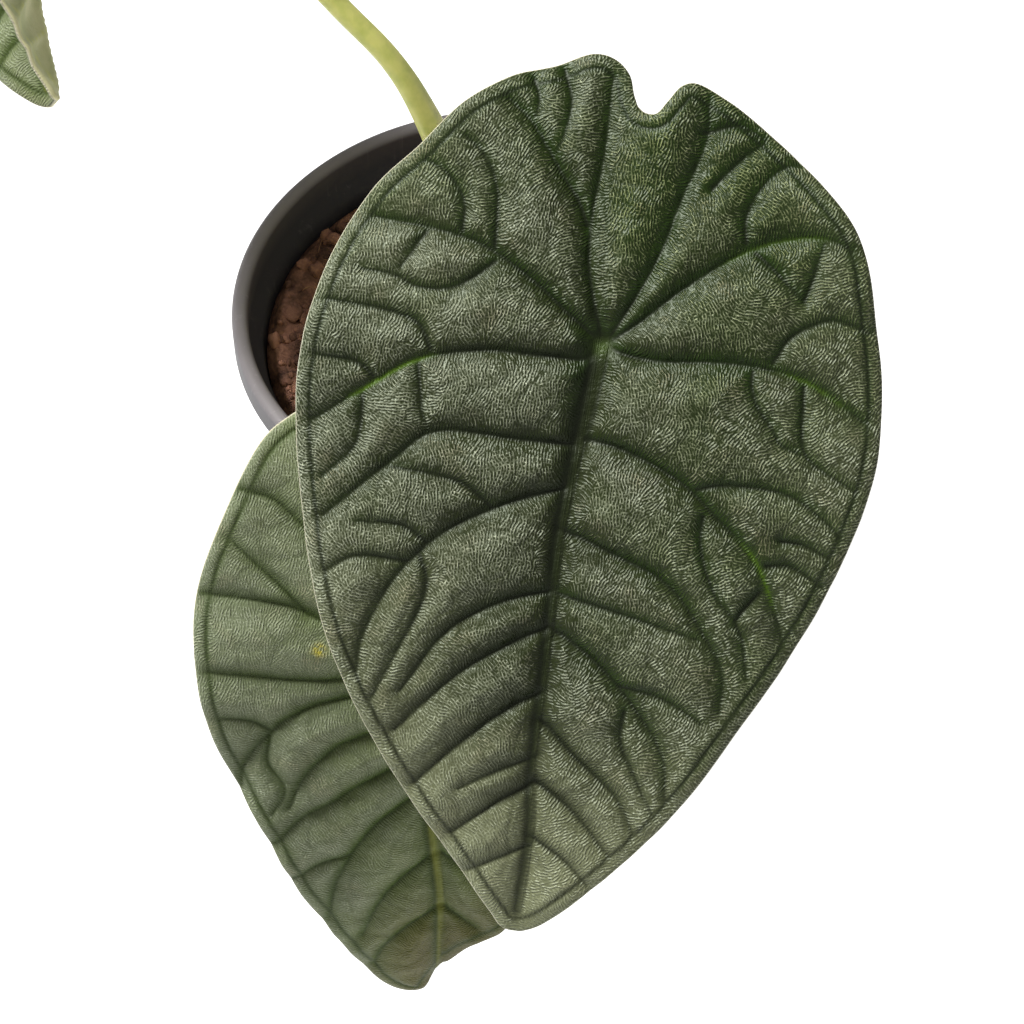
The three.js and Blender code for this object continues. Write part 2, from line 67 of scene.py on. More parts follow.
def srgb(red: int, green: int, blue: int) -> Colour:
    """Turns a screen colour of 0 to 255 into the linear values that a shader takes.

    Args:
        red: The red channel.
        green: The green channel.
        blue: The blue channel.

    Returns:
        The linear colour.
    """
    def linear(level: int) -> float:
        """One channel of it."""
        share = level / 255
        return share / 12.92 if share <= 0.04045 else ((share + 0.055) / 1.055) ** 2.4

    return linear(red), linear(green), linear(blue)


def smoothstep(value: Points, low: float, high: float) -> Points:
    """Rises smoothly from 0 at low to 1 at high."""
    share = np.clip((value - low) / (high - low), 0, 1)
    return share * share * (3 - 2 * share)


def bell(off: Points, width: Points | float) -> Points:
    """Falls smoothly from 1 where off is 0 towards 0 beyond the width."""
    return np.exp(-((off / width) ** 2))


def swell(points: Points, wavelength: float, seed: int, waves: int = 9) -> Points:
    """Smooth random waviness, mostly between -1 and 1.

    Args:
        points: Flat or solid points, one a row.
        wavelength: Usual distance between crests.
        seed: Seed of the waves' directions.
        waves: How many plain waves are summed.

    Returns:
        One value a point.
    """
    draw = np.random.default_rng(seed)
    ways = draw.normal(size=(waves, points.shape[1]))
    ways /= np.linalg.norm(ways, axis=1)[:, None]
    ways *= (2 * np.pi / wavelength) * draw.uniform(0.7, 1.4, (waves, 1))
    phases = draw.uniform(0, 2 * np.pi, waves)
    return np.sin(points @ ways.T + phases).sum(axis=1) / math.sqrt(waves)


def smooth_curve(path: Sequence[Sequence[float]], closed: bool = False, steps: int = 24) -> Points:
    """Centripetal Catmull-Rom curve through the points of a path.

    Args:
        path: The points, in two or three dimensions.
        closed: Whether the last point runs on to the first.
        steps: Points worked out from each given point to the next.

    Returns:
        The curve's points, one a row.
    """
    knots = np.array(path, float)
    if closed:
        ring = np.vstack([knots[-1:], knots, knots[:2]])
    else:
        ring = np.vstack([2 * knots[0] - knots[1], knots, 2 * knots[-1] - knots[-2]])
    before, start, end, after = ring[:-3], ring[1:-2], ring[2:-1], ring[3:]
    spans = (start - before, end - start, after - end)
    first, middle, last = (np.sqrt(np.linalg.norm(span, axis=1))[:, None] for span in spans)
    leave = end - start + middle * ((start - before) / first - (end - before) / (first + middle))
    arrive = end - start + middle * ((after - end) / last - (after - start) / (middle + last))
    share = (np.arange(steps) / steps)[:, None, None]
    square, cube = share**2, share**3
    rows = (2 * cube - 3 * square + 1) * start + (cube - 2 * square + share) * leave
    rows = rows + (3 * square - 2 * cube) * end + (cube - square) * arrive
    curve = rows.swapaxes(0, 1).reshape(-1, knots.shape[1])
    return curve if closed else np.vstack([curve, knots[-1:]])


def evenly(curve: Points, spacing: float, closed: bool = False) -> Points:
    """Points about a spacing apart along a curve; a closed one doesn't repeat its first.

    Args:
        curve: The points of the curve.
        spacing: The distance that is wanted.
        closed: Whether the last point runs on to the first.

    Returns:
        The even points, one a row.
    """
    line = np.vstack([curve, curve[:1]]) if closed else curve
    length = np.concatenate([[0], np.cumsum(np.linalg.norm(np.diff(line, axis=0), axis=1))])
    steps = max(2, round(length[-1] / spacing))
    stops = np.linspace(0, length[-1], steps + 1)
    even = np.stack([np.interp(stops, length, column) for column in line.T], axis=1)
    return even[:-1] if closed else even


def steps_round(sides: int) -> Points:
    """The angles of even steps once round."""
    return np.linspace(0, 2 * np.pi, sides, endpoint=False)


def round_axis(radius: Points | float, angle: Points, height: Points | float) -> Points:
    """Points at radii, angles and heights round the upright axis."""
    return np.stack(np.broadcast_arrays(radius * np.cos(angle), radius * np.sin(angle), height), axis=-1)


def round_line(line: Points, first: Points, second: Points, radius: Points) -> Points:
    """Rings of points round a line.

    Args:
        line: The points of the line.
        first: A unit vector square to the line at each of them.
        second: A unit vector square to the line and to the first.
        radius: The radius at each point of the line and each step round it.

    Returns:
        The points, ring after ring.
    """
    angle = steps_round(radius.shape[1])[None, :, None]
    out = first[:, None] * np.cos(angle) + second[:, None] * np.sin(angle)
    return (line[:, None] + radius[..., None] * out).reshape(-1, 3)


@dataclass(frozen=True)
class Nearness:
    """How points lie to a line: how far off, how far along from 0 to 1, its direction and the way off."""

    distance: Points
    along: Points
    direction: Points
    offset: Points

    @property
    def depth(self) -> Points:
        """How far inside a clockwise loop the points lie, less than 0 outside it."""
        turn = self.direction[:, 1] * self.offset[:, 0] - self.direction[:, 0] * self.offset[:, 1]
        return np.copysign(self.distance, turn)


def nearness(line: Points, points: Points, closed: bool = False) -> Nearness:
    """Finds the nearest place of a line to each point.

    Args:
        line: The line's flat points.
        points: The flat points to place.
        closed: Whether the line's last point runs on to its first.

    Returns:
        The nearness of each point.
    """
    batch = 8000
    squares = (line**2).sum(axis=1)
    parts = [points[first:first + batch] for first in range(0, len(points), batch)]
    closest = np.concatenate([(squares - 2 * part @ line.T).argmin(axis=1) for part in parts])
    count = len(line) if closed else len(line) - 1
    best = np.full(len(points), np.inf)
    along = np.zeros(len(points))
    direction = np.zeros((len(points), 2))
    offset = np.zeros((len(points), 2))
    for step in (closest - 1, closest):
        step = step % count if closed else np.clip(step, 0, count - 1)
        start = line[step]
        span = line[(step + 1) % len(line)] - start
        share = np.clip(((points - start) * span).sum(axis=1) / (span**2).sum(axis=1), 0, 1)
        away = points - start - share[:, None] * span
        squared = (away**2).sum(axis=1)
        closer = squared < best
        best[closer] = squared[closer]
        along[closer] = ((step + share) / count)[closer]
        direction[closer] = (span / np.linalg.norm(span, axis=1)[:, None])[closer]
        offset[closer] = away[closer]
    return Nearness(np.sqrt(best), along, direction, offset)


class Wire:
    """A value in a material's node tree. Sums, products and powers of it add Math nodes."""

    def __init__(self, web: "Web", socket: bpy.types.NodeSocket) -> None:
        """Wraps an output socket of a node of the web."""
        self.web, self.socket = web, socket

    def _math(self, operation: str, *values: "Wire | float", clamp: bool = False) -> "Wire":
        """Adds a Math node on some values.

        Args:
            operation: What the node does.
            *values: The values that it takes.
            clamp: Whether its result is kept between 0 and 1.

        Returns:
            The result.
        """
        sockets = dict(zip(("Value", "Value_001", "Value_002"), values))
        settings = {"operation": operation, "use_clamp": clamp}
        return self.web.node("ShaderNodeMath", settings, sockets, "Value")

    def __add__(self, other: "Wire | float") -> "Wire":
        """This value plus another."""
        return self._math("ADD", self, other)

    __radd__ = __add__

    def __sub__(self, other: "Wire | float") -> "Wire":
        """This value less another."""
        return self._math("SUBTRACT", self, other)

    def __rsub__(self, other: "Wire | float") -> "Wire":
        """Another value less this one."""
        return self._math("SUBTRACT", other, self)

    def __mul__(self, other: "Wire | float") -> "Wire":
        """This value times another."""
        return self._math("MULTIPLY", self, other)

    __rmul__ = __mul__

    def __pow__(self, other: "Wire | float") -> "Wire":
        """This value to a power."""
        return self._math("POWER", self, other)

    def beside(self, identifier: str) -> "Wire":
        """Another output of the node that this value comes from."""
        outputs = self.socket.node.outputs
        return Wire(self.web, next(entry for entry in outputs if entry.identifier == identifier))

    def cosine(self) -> "Wire":
        """The cosine of this angle."""
        return self._math("COSINE", self)

    def angle_from(self, across: "Wire") -> "Wire":
        """The angle whose sine goes with this value and whose cosine goes with across."""
        return self._math("ARCTAN2", self, across)

    def or_higher(self, other: "Wire | float") -> "Wire":
        """The higher of this value and another."""
        return self._math("MAXIMUM", self, other)

    def clamped(self) -> "Wire":
        """This value kept between 0 and 1."""
        return self._math("ADD", self, 0.0, clamp=True)

    def ramp(self, low: float, high: float) -> "Wire":
        """Rises smoothly from 0 where this value is low to 1 where it is high."""
        sockets = {"Value": self, "From Min": low, "From Max": high}
        return self.web.node("ShaderNodeMapRange", {"interpolation_type": "SMOOTHSTEP"}, sockets, "Result")


class Web:
    """A material and its node tree."""

    def __init__(self, name: str) -> None:
        """Starts an empty tree for a new material.

        Args:
            name: The material's name.
        """
        self.material = bpy.data.materials.new(name)
        self.material.use_nodes = True
        self.tree = self.material.node_tree
        self.tree.nodes.clear()

    def node(
        self, kind: str, settings: Mapping[str, object], sockets: Mapping[str, object], result: str
    ) -> Wire:
        """Adds a node.

        Args:
            kind: The node's type.
            settings: Its properties, which are set first.
            sockets: A value or a wire for each input socket, by the socket's identifier.
            result: The identifier of the output that is wanted.

        Returns:
            The wire from that output.
        """
        made = self.tree.nodes.new(kind)
        for key, value in settings.items():
            setattr(made, key, value)
        for identifier, value in sockets.items():
            socket = next(entry for entry in made.inputs if entry.identifier == identifier)
            if isinstance(value, Wire):
                self.tree.links.new(value.socket, socket)
            elif socket.type == "RGBA":
                socket.default_value = (*value, 1.0)
            else:
                socket.default_value = value
        return Wire(self, next(entry for entry in made.outputs if entry.identifier == result))

    def attribute(self, name: str) -> Wire:
        """A number that the mesh holds at its points."""
        return self.node("ShaderNodeAttribute", {"attribute_name": name}, {}, "Fac")

    def place(self, name: str) -> Wire:
        """A vector that the mesh holds at its points."""
        return self.node("ShaderNodeAttribute", {"attribute_name": name}, {}, "Vector")

    def position(self) -> Wire:
        """The place on the piece, in metres."""
        return self.node("ShaderNodeTexCoord", {}, {}, "Object")

    def stretched(self, where: Wire, scale: Place) -> Wire:
        """A place with each of its coordinates multiplied."""
        sockets = {"Vector": where, "Scale": scale}
        return self.node("ShaderNodeMapping", {"vector_type": "POINT"}, sockets, "Vector")

    def cloud(self, where: Wire, scale: float, detail: float = 3.0, roughness: float = 0.5) -> Wire:
        """Smooth noise from 0 to 1 at a place."""
        sockets = {"Vector": where, "Scale": scale, "Detail": detail, "Roughness": roughness}
        return self.node("ShaderNodeTexNoise", {}, sockets, "Fac")

    def cells(self, where: Wire, scale: float) -> Wire:
        """Distance to the nearest of many scattered points."""
        return self.node("ShaderNodeTexVoronoi", {}, {"Vector": where, "Scale": scale}, "Distance")

    def mix(self, share: Wire | float, first: Wire | Colour, second: Wire | Colour) -> Wire:
        """A colour that runs from the first to the second as the share runs from 0 to 1."""
        sockets = {"Factor_Float": share, "A_Color": first, "B_Color": second}
        return self.node("ShaderNodeMix", {"data_type": "RGBA"}, sockets, "Result_Color")

    def bump(self, height: Wire, distance: float) -> Wire:
        """A normal that leans as a surface of that height would, distance being metres a unit."""
        return self.node("ShaderNodeBump", {}, {"Height": height, "Distance": distance}, "Normal")

    def finish(self, sockets: Mapping[str, object]) -> bpy.types.Material:
        """Ends the tree in one principled surface with these sockets.

        Args:
            sockets: A value or a wire for each socket of the surface that is set.

        Returns:
            The finished material.
        """
        surface = self.node("ShaderNodeBsdfPrincipled", {}, sockets, "BSDF")
        output = self.tree.nodes.new("ShaderNodeOutputMaterial")
        self.tree.links.new(surface.socket, output.inputs["Surface"])
        return self.material


@dataclass(frozen=True)
class QuiltedSkin:
    """A leaf's upper face: fine wrinkles on dark green, their crests painted pale as sheen, and dark sunken
    veins with painted shade along them.
    """

    name: str = "leaf_upper"
    # Crest colours: painted sheen that pales the tops of the wrinkles. Trough colours: the dark green
    # between them.
    crest: Colour = srgb(162, 167, 142)
    crest_green: Colour = srgb(145, 154, 103)
    crest_warm: Colour = srgb(150, 141, 110)
    trough: Colour = srgb(37, 43, 18)
    trough_green: Colour = srgb(25, 39, 4)
    # Colour of faded tissue. This pale default is painted sheen on the front leaf; the other leaves' brown
    # is their own fading.
    faded_and_sheen: Colour = srgb(146, 149, 114)
    # Painted shade: the dark colours of the bank of each vein that faces away from the light.
    shaded_bank: Colour = srgb(20, 26, 9)
    shaded_bank_green: Colour = srgb(29, 50, 5)
    # Vein: the dark line in each vein's crease, painted shade; along the midrib it is painted shadow,
    # mostly on its left wall.
    vein: Colour = srgb(9, 13, 2)
    cord: Colour = srgb(28, 34, 11)
    fresh_vein: Colour = srgb(66, 92, 10)
    rim: Colour = srgb(180, 174, 148)
    hub: Colour = srgb(52, 68, 20)
    spot: Colour = srgb(164, 152, 44)
    gloss: float = 0.3
    sheen: Colour = (0.92, 1.0, 0.82)
    # How broadly the painted shade on the vein banks spreads into the tissue.
    spread: float = 1.0
    wrinkle_size: float = 0.85
    wrinkle_waves: float = 2.0
    wrinkle_order: float = 0.8
    cross_waves: float = 1.75
    cross_order: float = 0.7
    wrinkle_height: float = 0.0004
    wrinkle_edge: float = 2.2
    cross_share: float = 0.8
    # How strongly the crests are painted pale as sheen, and how much painted shade darkens the tissue in
    # the grooves and where the leaf is lusher.
    contrast: float = 2.2
    darkness: float = 0.41
    hollow_shade: float = 0.36
    lush_shade: float = 0.12
    grain: float = 0.5
    streak_height: float = 0.8

    def folds(self, web: Web, turn: float, waves: float, order: float) -> Wire:
        """Short fine folds from 0 to 1.

        Args:
            web: The material's web.
            turn: Angle from the way across between veins, in radians.
            waves: How many folds there are to each patch of them.
            order: How straight they run, from 0 to 1.

        Returns:
            Their height.
        """
        angle = web.attribute("lie_sine").angle_from(web.attribute("lie_cosine")) * 0.5 + turn
        sockets = {
            "Vector": web.place("flat"),
            "Scale": self.wrinkle_size,
            "Frequency": waves,
            "Anisotropy": order,
            "Orientation 2D": angle,
        }
        phase = web.node("ShaderNodeTexGabor", {"gabor_type": "2D"}, sockets, "Phase")
        return 0.5 - phase.beside("Intensity") * (phase * (2 * math.pi)).cosine() * 0.5

    def wrinkles(self, web: Web) -> tuple[Wire, Wire]:
        """Fine ridges across from vein to vein, from 0 to 1, alone and with fainter ones that cross them.

        Args:
            web: The material's web.

        Returns:
            The ridges alone and with the fainter ones.
        """
        across = self.folds(web, 0.0, self.wrinkle_waves, self.wrinkle_order) ** self.wrinkle_edge
        along = self.folds(web, math.pi / 2, self.cross_waves, self.cross_order) ** self.wrinkle_edge
        return across, across.or_higher(along * self.cross_share)

    def material(self) -> bpy.types.Material:
        """Builds the material.

        Returns:
            The material.
        """
        web = Web(self.name)
        flat = web.place("flat")
        line, green, hollow = (web.attribute(name) for name in ("line", "green", "hollow"))
        hub, cord, calm, lushness_and_shade = (web.attribute(name) for name in ("hub", "cord", "calm", "lush_and_shade"))
        patches = web.cloud(flat, 0.07)
        tint = web.cloud(flat, 0.11)
        fine = web.cloud(flat, 0.9, 2.0)
        streaks = web.cloud(web.stretched(flat, (3.2, 0.12, 1.0)), 1.0, 2.0)
        grain = (fine - 0.5) * self.grain
        raised, drawn = self.wrinkles(web)
        wrinkled = 1 - (line * 0.7 + calm + cord + green * 0.2).clamped()
        ridges = drawn * wrinkled
        # Painted sheen and shade: light pales the wrinkle crests as sheen would, and shade darkens the
        # tissue in the vein grooves and with the leaf's lushness, which on the front leaf carries painted
        # shade.
        shade = hollow * self.hollow_shade + lushness_and_shade * self.lush_shade + self.darkness
        light = (ridges * self.contrast - shade + grain).clamped()
        lush_and_shade = (green * 0.7 + (patches - 0.42) * 1.6 + lushness_and_shade).clamped()
        crest = web.mix(lush_and_shade, self.crest, self.crest_green)
        high = web.mix(tint.ramp(0.5, 0.75) * 0.6, crest, self.crest_warm)
        low = web.mix(lush_and_shade, self.trough, self.trough_green)
        # On the front leaf this mixes in painted sheen; on the others, their own fading.
        tissue = web.mix(web.attribute("fading_and_sheen"), web.mix(light, low, high), self.faded_and_sheen)
        # Painted shade: the vein banks that face away from the light are painted dark green.
        shaded_bank = web.mix((lushness_and_shade * 1.5 + patches + 0.15).clamped(), self.shaded_bank, self.shaded_bank_green)
        shaded_banked = web.mix((green**self.spread).clamped(), tissue, shaded_bank)
        # Painted shade in the vein creases and painted shadow along the midrib's walls.
        veined = web.mix(line.clamped(), shaded_banked, self.vein)
        fresh = web.mix(web.attribute("fresh"), veined, self.fresh_vein)
        corded = web.mix((cord * (0.55 + streaks * 0.7)).clamped(), fresh, self.cord)
        spotted = web.mix(web.attribute("spot") * fine.ramp(0.3, 0.6), corded, self.spot)
        joined = web.mix(hub, spotted, self.hub)
        rimmed = web.mix(1 - web.attribute("edge").ramp(0.04, 0.3), joined, self.rim)
        height = raised * wrinkled + grain + streaks * (cord + hub) * self.streak_height
        return web.finish({
            "Base Color": rimmed,
            "Roughness": 0.44 - ridges * 0.1 + line * 0.1,
            "Specular IOR Level": self.gloss,
            "Specular Tint": self.sheen,
            "Normal": web.bump(height, self.wrinkle_height),
        })


@dataclass(frozen=True)
class PaleUnderside:
    """A leaf's lower face: smooth, pale and khaki green, with yellower ribs."""

    skin: Colour = srgb(206, 205, 156)
    skin_green: Colour = srgb(172, 178, 122)
    rib: Colour = srgb(200, 202, 116)
    rim: Colour = srgb(206, 202, 156)

    def material(self) -> bpy.types.Material:
        """Builds the material.

        Returns:
            The material.
        """
        web = Web("leaf_lower")
        flat = web.place("flat")
        patches = web.cloud(flat, 0.09, 4.0)
        pores = web.cells(flat, 2.2)
        skin = web.mix(patches.ramp(0.35, 0.65), self.skin, self.skin_green)
        ribbed = web.mix((web.attribute("line") * 0.9).clamped(), skin, self.rib)
        rimmed = web.mix(1 - web.attribute("edge").ramp(0.1, 0.9), ribbed, self.rim)
        return web.finish({
            "Base Color": rimmed,
            "Roughness": 0.5 + (patches - 0.5) * 0.2,
            "Specular IOR Level": 0.4,
            "Normal": web.bump(pores + patches * 0.5, 0.00004),
        })


@dataclass(frozen=True)
class PetioleSkin:
    """A petiole: yellow-green, paler along the thin edges of its sheath, browner at its foot."""

    skin: Colour = srgb(200, 197, 116)
    shade: Colour = srgb(168, 174, 90)
    wing: Colour = srgb(214, 212, 156)
    foot: Colour = srgb(128, 112, 62)

    def material(self) -> bpy.types.Material:
        """Builds the material.

        Returns:
            The material.
        """
        web = Web("petiole_skin")
        place = web.position()
        streaks = web.cloud(place, 260.0, 4.0)
        grain = web.cloud(web.stretched(place, (900.0, 900.0, 90.0)), 1.0, 3.0)
        skin = web.mix((streaks.ramp(0.35, 0.7) * 0.7 + grain * 0.25).clamped(), self.skin, self.shade)
        winged = web.mix(web.attribute("wing"), skin, self.wing)
        footed = web.mix(web.attribute("foot"), winged, self.foot)
        return web.finish({
            "Base Color": footed,
            "Roughness": 0.38 + grain * 0.12,
            "Specular IOR Level": 0.45,
            "Subsurface Weight": 0.12,
            "Subsurface Radius": (0.6, 1.0, 0.2),
            "Subsurface Scale": 0.003,
            "Normal": web.bump(grain, 0.00005),
        })


@dataclass(frozen=True)
class StemBark:
    """The stem: olive brown with darker leaf scars and papery edges."""

    bark: Colour = srgb(122, 112, 66)
    scar: Colour = srgb(74, 58, 38)
    paper: Colour = srgb(168, 142, 98)

    def material(self) -> bpy.types.Material:
        """Builds the material.

        Returns:
            The material.
        """
        web = Web("stem_bark")
        place = web.position()
        blotches = web.cloud(place, 420.0, 5.0)
        bark = web.mix(blotches.ramp(0.4, 0.65), self.bark, self.scar)
        scarred = web.mix(web.attribute("scar"), bark, self.scar)
        papered = web.mix(web.attribute("paper"), scarred, self.paper)
        return web.finish({
            "Base Color": papered,
            "Roughness": 0.72 + blotches * 0.15,
            "Normal": web.bump(blotches, 0.0002),
        })


@dataclass(frozen=True)
class CoirMix:
    """The potting mix: crumbs of peat and coir from near black to reddish brown."""

    deep: Colour = srgb(64, 44, 37)
    brown: Colour = srgb(178, 128, 106)
    fibre: Colour = srgb(176, 134, 104)

    def material(self) -> bpy.types.Material:
        """Builds the material.

        Returns:
            The material.
        """
        web = Web("coir_mix")
        place = web.position()
        clods = web.cloud(place, 170.0)
        grit = web.cloud(place, 900.0, 5.0, 0.65)
        cells = web.cells(place, 620.0)
        share = (clods.ramp(0.3, 0.66) * 0.6 + (grit - 0.4) * 0.8 + web.attribute("tone") * 0.5).clamped()
        mixed = web.mix(share, self.deep, self.brown)
        fibrous = web.mix(web.attribute("fibre"), mixed, self.fibre)
        return web.finish({
            "Base Color": fibrous,
            "Roughness": 0.9 - grit * 0.1,
            "Specular IOR Level": 0.25,
            "Normal": web.bump(grit + cells * 0.6, 0.0006),
        })


@dataclass(frozen=True)
class PotPlastic:
    """Black moulded nursery-pot plastic, worn paler on its rim and foot and dusty in patches."""

    plastic: Colour = srgb(60, 58, 62)
    worn: Colour = srgb(170, 163, 165)
    dust: Colour = srgb(104, 92, 80)

    def material(self) -> bpy.types.Material:
        """Builds the material.

        Returns:
            The material.
        """
        web = Web("pot_plastic")
        place = web.position()
        haze = web.cloud(place, 38.0, 4.0)
        speckle = web.cloud(place, 1500.0, 3.0, 0.6)
        flow = web.stretched(place, (600.0, 600.0, 24.0))
        scuffs = web.cloud(flow, 1.0, 4.0, 0.6).ramp(0.58, 0.75)
        worn = (web.attribute("worn") * (0.35 + haze * 0.5) + scuffs * 0.12).clamped()
        plastic = web.mix(worn, self.plastic, self.worn)
        dusty = web.mix(haze.ramp(0.5, 0.8) * 0.22 + speckle.ramp(0.6, 0.8) * 0.1, plastic, self.dust)
        return web.finish({
            "Base Color": dusty,
            "Roughness": 0.46 + haze * 0.16 + scuffs * 0.1,
            "Specular IOR Level": 0.36,
            "Normal": web.bump(speckle + scuffs * 0.4, 0.00004),
        })


@dataclass(frozen=True)
class PaleFloor:
    """The plain pale surface that the pot stands on: it glows white round the plant, dimmed round the pot's
    foot as a painted contact shadow.
    """

    near: Colour = (0.34, 0.34, 0.335)
    far: Colour = (0.86, 0.86, 0.85)
    shade: Colour = (0.8, 0.8, 0.79)
    white: Colour = (1.0, 1.0, 0.995)
    glow: float = 1.02
    # Where the glow dims round the pot's foot: a painted contact shadow.
    foot: tuple[float, float] = (0.036, 0.068)
    fade: tuple[float, float] = (0.26, 0.6)

    def material(self) -> bpy.types.Material:
        """Builds the material.

        Returns:
            The material.
        """
        web = Web("pale_floor")
        place = web.position()
        grain = web.cloud(place, 6.0, 2.0)
        distance = web.node("ShaderNodeVectorMath", {"operation": "LENGTH"}, {"Vector": place}, "Value")
        away = distance.ramp(*self.fade)
        tone = web.mix(away, self.near, web.mix(grain, self.far, self.shade))
        # The glow is dimmed round the pot's foot as a painted contact shadow.
        glow = web.mix(away + (1 - distance.ramp(*self.foot)) * 0.75, self.white, (0.0, 0.0, 0.0))
        return web.finish({
            "Base Color": tone,
            "Roughness": 0.85,
            "Emission Color": glow,
            "Emission Strength": self.glow,
        })


def make_piece(
    name: str,
    points: Points,
    faces: Sequence[Sequence[int]],
    materials: Sequence[bpy.types.Material],
    values: Mapping[str, Points],
    slots: Points | None = None,
) -> bpy.types.Object:
    """Makes a smooth-shaded piece.

    Args:
        name: The piece's name.
        points: Its points in millimetres.
        faces: The points of each face.
        materials: Its materials.
        values: Numbers or vectors at the points that the materials read.
        slots: Which material each face wears, or None for the first.

    Returns:
        The new object, at the origin.
    """
    mesh = bpy.data.meshes.new(name)
    mesh.from_pydata((points * MM).tolist(), [], faces)
    for material in materials:
        mesh.materials.append(material)
    for key, data in values.items():
        kind, slot = ("FLOAT", "value") if data.ndim == 1 else ("FLOAT_VECTOR", "vector")
        mesh.attributes.new(key, kind, "POINT").data.foreach_set(slot, data.astype(np.float32).ravel())
    if slots is not None:
        mesh.polygons.foreach_set("material_index", slots.astype(np.int32))
    mesh.polygons.foreach_set("use_smooth", np.ones(len(mesh.polygons), bool))
    mesh.update()
    piece = bpy.data.objects.new(name, mesh)
    bpy.context.scene.collection.objects.link(piece)
    return piece


def dress(piece: bpy.types.Object, node: str) -> None:
    """Lets a piece stand for a solid, which it hides, moving with the plant.

    Args:
        piece: The piece.
        node: The solid that it stands for.
    """
    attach(piece, "root")
    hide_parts(node)
    log.info("%s: %d faces", piece.name, len(piece.data.polygons))


def loop_edges(count: int, start: int = 0) -> list[tuple[int, int]]:
    """The edges of a closed loop of points, the first being number start."""
    return [(start + step, start + (step + 1) % count) for step in range(count)]


def triangulated(points: Points, edges: Sequence[tuple[int, int]]) -> Points:
    """Counter-clockwise triangles between flat points.

    Args:
        points: The flat points.
        edges: Pairs of points that have to be joined.

    Returns:
        The points of each triangle.

    Raises:
        ValueError: If two of the points meet.
    """
    found = delaunay_2d_cdt([Vector(point) for point in points], edges, [], 1, 1e-6, False)
    if len(found[0]) != len(points):
        raise ValueError("some of the flat points meet")
    faces = np.array(found[2])
    a, b, c = (points[corner] for corner in faces.T)
    turned = np.cross(b - a, c - a) < 0
    faces[turned] = faces[turned][:, ::-1]
    return faces


def ring_faces(rings: int, sides: int, start: int = 0) -> Faces:
    """Quads between rings of points laid out one after another.

    Args:
        rings: How many rings there are.
        sides: Points in each ring.
        start: Index of the first point.

    Returns:
        The faces.
    """
    return [
        (low + side, low + beside, low + sides + beside, low + sides + side)
        for low in range(start, start + (rings - 1) * sides, sides)
        for side, beside in loop_edges(sides)
    ]


def closed_faces(rings: int, sides: int, start: int = 0) -> Faces:
    """Quads between rings of points, with a face over each end.

    Args:
        rings: How many rings there are.
        sides: Points in each ring.
        start: Index of the first point.

    Returns:
        The faces.
    """
    last = start + (rings - 1) * sides
    return ring_faces(rings, sides, start) + [range(start, start + sides)[::-1], range(last, last + sides)]


def shifted(faces: Faces, offset: int) -> Faces:
    """Faces whose points come later by an offset."""
    return [tuple(corner + offset for corner in face) for face in faces]


@dataclass(frozen=True)
class VeinSize:
    """A kind of vein, in millimetres: its groove above, its rib below, how its colour spreads and how
    strong the painted shade on its banks is.
    """

    depth: float
    width: float
    valley: float
    rib: float
    crease: float
    line: float
    green: float


class VeinKind(Enum):
    """The veins of a leaf by size."""

    MIDRIB = VeinSize(3.2, 1.5, 6.0, 1.3, 0.8, 0.4, 0.9)
    PRIMARY = VeinSize(2.7, 1.1, 4.6, 0.5, 0.22, 0.4, 0.9)
    BRANCH = VeinSize(1.8, 0.9, 4.2, 0.2, 0.2, 0.36, 0.7)


def across_midrib(paths: Sequence[FlatPath], scale: float = 1.0) -> tuple[FlatPath, ...]:
    """Paths on the other side of the midrib, and larger or smaller."""
    return tuple(tuple((-x * scale, y * scale) for x, y in path) for path in paths)


@dataclass(frozen=True)
class LeafPattern:
    """The flat pattern of a leaf: its outline and its veins from the hub outwards."""

    outline: FlatPath
    midrib: tuple[FlatPath, ...]
    primary: tuple[FlatPath, ...]
    branch: tuple[FlatPath, ...]
    fresh: Mapping[int, tuple[float, float, float]] = field(default_factory=dict)
    spots: tuple[tuple[float, float, float], ...] = ()

    def veins(self, kind: VeinKind) -> tuple[FlatPath, ...]:
        """The veins of a kind."""
        paths = (self.midrib, self.primary, self.branch)
        return dict(zip(VeinKind, paths))[kind]

    def margin(self) -> Points:
        """The margin's points, clockwise."""
        points = evenly(smooth_curve(self.outline, True), MARGIN_STEP, True)
        return points if np.cross(points, np.roll(points, -1, axis=0)).sum() < 0 else points[::-1]

    def flipped(self, scale: float) -> "LeafPattern":
        """This pattern on the other side of its midrib, and smaller or larger.

        Args:
            scale: How much larger it becomes.

        Returns:
            The new pattern.
        """
        lists = ((self.outline,), self.midrib, self.primary, self.branch)
        (outline,), *veins = (across_midrib(paths, scale) for paths in lists)
        return LeafPattern(outline, *veins, self.fresh)


